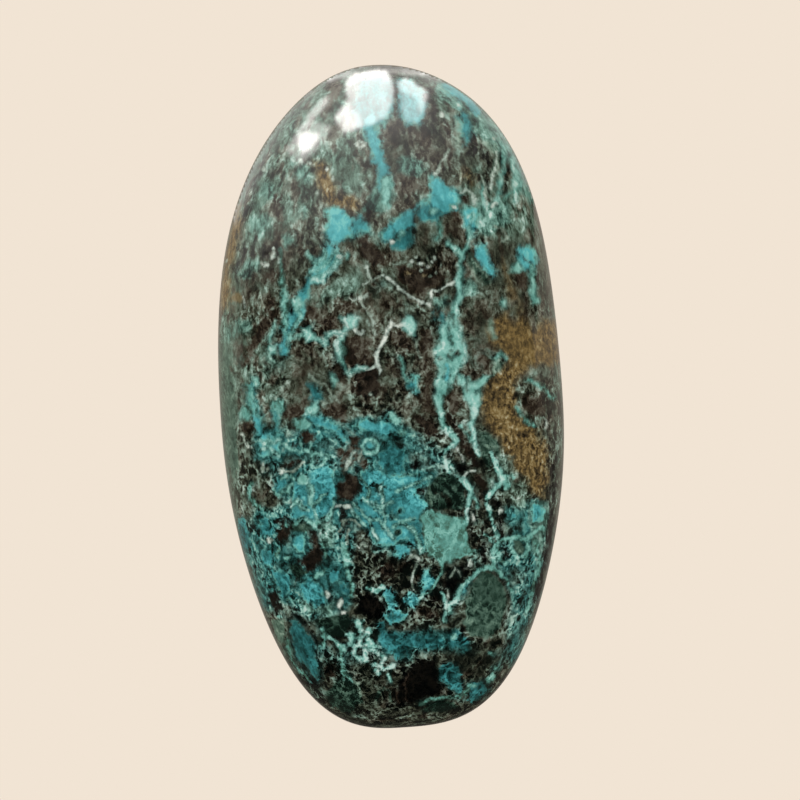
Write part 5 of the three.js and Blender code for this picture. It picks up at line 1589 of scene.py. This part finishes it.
@dataclass
class Studio:
    """The pale floor, the soft light, the window that the dome reflects, and the camera."""

    oval: Oval
    paper: Colour = (241, 228, 212)
    floor_size: float = 3.0  # in metres
    floor_gap: float = 0.02  # how far the paper lies under the flat back, in millimetres
    camera_height: float = 1.2  # in metres
    view_width: float = 48.12  # millimetres across the view
    aim: Point = 0.524 - 0.25j
    lean: float = 0.0413  # how far the view's upright leans to +X
    panel_distance: float = 0.012  # from the dome to the light mirrored in it, in metres
    glint: tuple[float, ...] = (0.03, 0.06, 0.1, 0.34, 0.6, 0.5, 0.4)  # how bright the mirrored paper is
    glint_rows: tuple[float, ...] = (-12.0, -0.9, -0.3, 0.0, 0.3, 0.9, 12.0)  # along Y, in metres
    glint_depth: float = 0.9  # how far under the stone the mirrored paper lies, so that it looks endless
    window_box: tuple[float, float, float, float] = (-9.0, 9.0, 4.0, 19.86)  # west, east, south, north
    window_cells: tuple[int, int] = (139, 159)  # along X and Y
    window_foot: float = 0.5  # the window isn't mirrored where the dome is lower than this
    window_light: tuple[float, float, float, float] = (1.0, 0.97, 0.93, 1.0)
    streak: float = 0.25  # how strongly the panes are streaked
    streak_proud: float = 0.12  # and how far the streaks push their outlines out
    streak_size: float = 0.7  # about how far apart they are
    streak_shrink: float = 0.4  # the share of Y that they read, so that they run along it
    sensor: float = 36.0  # the camera sensor's width, in millimetres
    panes: tuple[Pane, ...] = (
        Pane((-2.6+16.9j, -2.3+17.4j, -1.8+17.9j, -1.95+18.5j, -1.85+19.05j, -1.3+19.45j, 0.3+19.5j,
            0.8+19.15j, 1+18.3j, 0.75+17.4j, 0.4+16.8j, -0.4+16.4j, -1.2+16.1j, -2.2+15.95j), 12.0),
        Pane((-2.6+16.9j, -2.2+17.5j, -1.7+17.6j, -1.2+17j, -1.1+16.2j, -2.2+15.95j), 6.0),
        Pane((-5+15.4j, -4.8+16j, -4.3+16.15j, -3.7+15.9j, -3.7+15.6j, -4.3+15j, -4.8+14.6j), 16.0),
        Pane((-4.65+16.3j, -4.3+17.1j, -3.7+17.7j, -3.1+18.15j, -3+17.85j, -3.6+17.1j, -4.2+16.5j), 7.5),
        Pane((-5.6+15.1j, -4.6+16.6j, -3.8+16.7j, -3+16.3j, -3.4+15.4j, -4.2+14.6j, -5.1+14.1j), 5.5),
        Pane((1.1+18.85j, 1.6+19j, 2.1+18.8j, 2.9+18.2j, 2.95+17.8j, 2.5+17j, 2.3+17.2j, 2.35+17.9j,
            1.6+18.15j, 1.2+18.4j), 4.5),
        Pane((1.1+18.9j, 1.7+19j, 2.9+18.2j, 2.8+17.2j, 2.2+16.3j, 1.7+16.4j, 1.3+17.2j), 5.2),
        Pane((-3.4+19.2j, -1.6+19.6j, 1.2+19.62j, 2.9+19.3j, 2.6+19.15j, 0+19.4j, -3+19.05j), 2.2),
    )
    veils: tuple[Pane, ...] = (
        Pane((-9+8j, -7+15j, -2+19.6j, 3.5+19.6j, 5.5+15j, 2+12j, -4+10j), 1.3, 2.5),
        Pane((-5.5+15j, -4+18j, -1+19.6j, 3+19j, 3+16.5j, -1+15j), 1.2, 1.0),
        Pane((-9.2+10.8j, -8.6+12.4j, -7.4+14.8j, -5.6+17.2j, -3.2+18.9j, -4.4+17.1j, -6+15.2j, -8+12.2j,
            -8.9+10.8j), 0.8, 0.5),
        Pane((2.8+19.2j, 5.6+17.9j, 7.6+15.4j, 9+12.4j, 8.5+12.4j, 7.1+14.9j, 5.2+17.1j,
            2.8+18.5j), 0.7, 0.5),
    )

    def build(self) -> None:
        """Sets out the floor, the lights and the camera."""
        half = self.floor_size / 2
        paper = self.sheet("paper", (-half, half), (1.0, 1.0), self.floor_gap * MM)
        paper.visible_glossy = False
        mirrored = self.sheet("paper_glint", self.glint_rows, self.glint, self.glint_depth)
        mirrored.visible_camera = False
        mirrored.visible_diffuse = False
        self.light()
        self.window()
        self.camera()

    @staticmethod
    def glowing(name: str, colour: object) -> bpy.types.Material:
        """A surface that gives off light, as strong as its mesh's glow attribute.

        Args:
            name: The material's name.
            colour: Its linear colour.

        Returns:
            The material.
        """
        made = bpy.data.materials.new(name)
        made.use_nodes = True
        g = Sketch(made.node_tree)
        light = g.add("Emission", {"Color": colour, "Strength": g.attribute("glow")})
        g.add("OutputMaterial", {"Surface": light.outputs[0]})
        return made

    def lit(
        self, name: str, places: np.ndarray, faces: np.ndarray, levels: np.ndarray, colour: object
    ) -> bpy.types.Object:
        """A surface of light that isn't part of the stone.

        Args:
            name: Its name.
            places: N by 3 places in metres.
            faces: M by 4 corner numbers.
            levels: How brightly it glows at each place.
            colour: Its linear colour.

        Returns:
            The surface.
        """
        made = new_piece(name, places, [faces], {"glow": levels}, self.glowing(name, colour))
        return made

    def sheet(
        self, name: str, rows: tuple[float, ...], levels: tuple[float, ...], depth: float
    ) -> bpy.types.Object:
        """A square of lit paper a depth under the stone, as bright as its levels at rows along Y."""
        places = np.array([(x, y, -depth) for y in rows for x in (rows[0], rows[-1])])
        return self.lit(name, places, grid_quads(1, len(rows) - 1), np.repeat(levels, 2), linear(self.paper))

    def light(self) -> None:
        """Even light from all round, which polished faces don't mirror."""
        world = bpy.data.worlds.new("studio")
        bpy.context.scene.world = world
        world.use_nodes = True
        background = world.node_tree.nodes["Background"]
        background.inputs["Color"].default_value = (1.0, 1.0, 1.0, 1.0)
        background.inputs["Strength"].default_value = 1.0
        world.cycles_visibility.glossy = False
        bpy.context.scene.view_settings.view_transform = "Standard"

    def rise(self, x: np.ndarray, y: np.ndarray) -> np.ndarray:
        """The dome's height, from each place's distance to the centre as a share of the rim's there.

        Args:
            x: Places along X in millimetres.
            y: Places along Y in millimetres.

        Returns:
            N heights in millimetres, 0 outside the rim.
        """
        rim = self.oval.rim(np.linspace(-np.pi, np.pi, 3601))
        bearing = np.unwrap(np.arctan2(rim[:, 1], rim[:, 0]))
        reach = np.interp(np.arctan2(y, x), bearing, np.hypot(rim[:, 0], rim[:, 1]))
        return self.oval.height(np.minimum(1.0, np.hypot(x, y) / reach))

    def mirrored(self, x: np.ndarray, y: np.ndarray) -> np.ndarray:
        """Where a light hangs to be seen, from straight above, in the dome at places in plan.

        The dome's slope gives its normal n, and a ray that comes straight down leaves along
        2 (n . z) n - z.

        Args:
            x: Places along X in millimetres.
            y: Places along Y in millimetres.

        Returns:
            N by 3 places in metres.
        """
        step = 0.01
        slope = np.stack((
            (self.rise(x - step, y) - self.rise(x + step, y)) / (2 * step),
            (self.rise(x, y - step) - self.rise(x, y + step)) / (2 * step),
            np.ones_like(x),
        ), axis=-1)
        normal = slope / np.linalg.norm(slope, axis=-1, keepdims=True)
        away = 2 * normal[..., 2:] * normal - np.array((0.0, 0.0, 1.0))
        return np.stack((x, y, self.rise(x, y)), axis=-1) * MM + away * self.panel_distance

    def glow(self, x: np.ndarray, y: np.ndarray) -> np.ndarray:
        """How bright the window is: streaked panes on soft veils.

        Args:
            x: Places along X in millimetres.
            y: Places along Y in millimetres.

        Returns:
            N strengths, each for the light that is mirrored at its place.
        """
        plane = np.stack((x, y * self.streak_shrink, 0.0 * x), axis=-1)
        streaks = SolidNoise(seed=5).layered(plane, self.streak_size, 3)
        level = np.zeros(x.shape)
        for veil in self.veils:
            level += veil.light(x, y)
        for pane in self.panes:
            level += (1.0 + self.streak * streaks) * pane.light(x, y, self.streak_proud * streaks)
        return level

    def window(self) -> None:
        """One sheet of light, seen only in the polish, whose every corner is mirrored from a grid."""
        west, east, south, north = self.window_box
        across, along = self.window_cells
        x, y = np.meshgrid(np.linspace(west, east, across + 1), np.linspace(south, north, along + 1))
        x, y = x.ravel(), y.ravel()
        quads = grid_quads(across, along)
        quads = quads[(self.rise(x, y) > self.window_foot)[quads].all(axis=1)]
        window = self.lit("window", self.mirrored(x, y), quads, self.glow(x, y), self.window_light)
        window.visible_camera = False
        window.visible_diffuse = False
        window.visible_shadow = False

    def camera(self) -> None:
        """Looks straight down with a long lens."""
        lens = bpy.data.cameras.new("camera")
        lens.sensor_width = self.sensor
        lens.lens = lens.sensor_width * self.camera_height / (self.view_width * MM)
        eye = bpy.data.objects.new("camera", lens)
        bpy.context.scene.collection.objects.link(eye)
        place = Matrix.Translation((self.aim.real * MM, self.aim.imag * MM, self.camera_height))
        eye.matrix_world = place @ Matrix.Rotation(-self.lean, 4, "Z")
        bpy.context.scene.camera = eye


def main() -> None:
    """Builds the stone and the studio, and reports each piece."""
    logging.basicConfig(level=logging.INFO, format="%(name)s: %(message)s")
    cabochon = Cabochon()
    stone = cabochon.build()
    LOG.info("%s: %d vertices, %d faces", stone.name, len(stone.data.vertices), len(stone.data.polygons))
    Studio(oval=cabochon.oval).build()
    LOG.info("studio: paper, a window of %d panes, camera", len(Studio.panes))


if __name__ == "__main__":
    main()
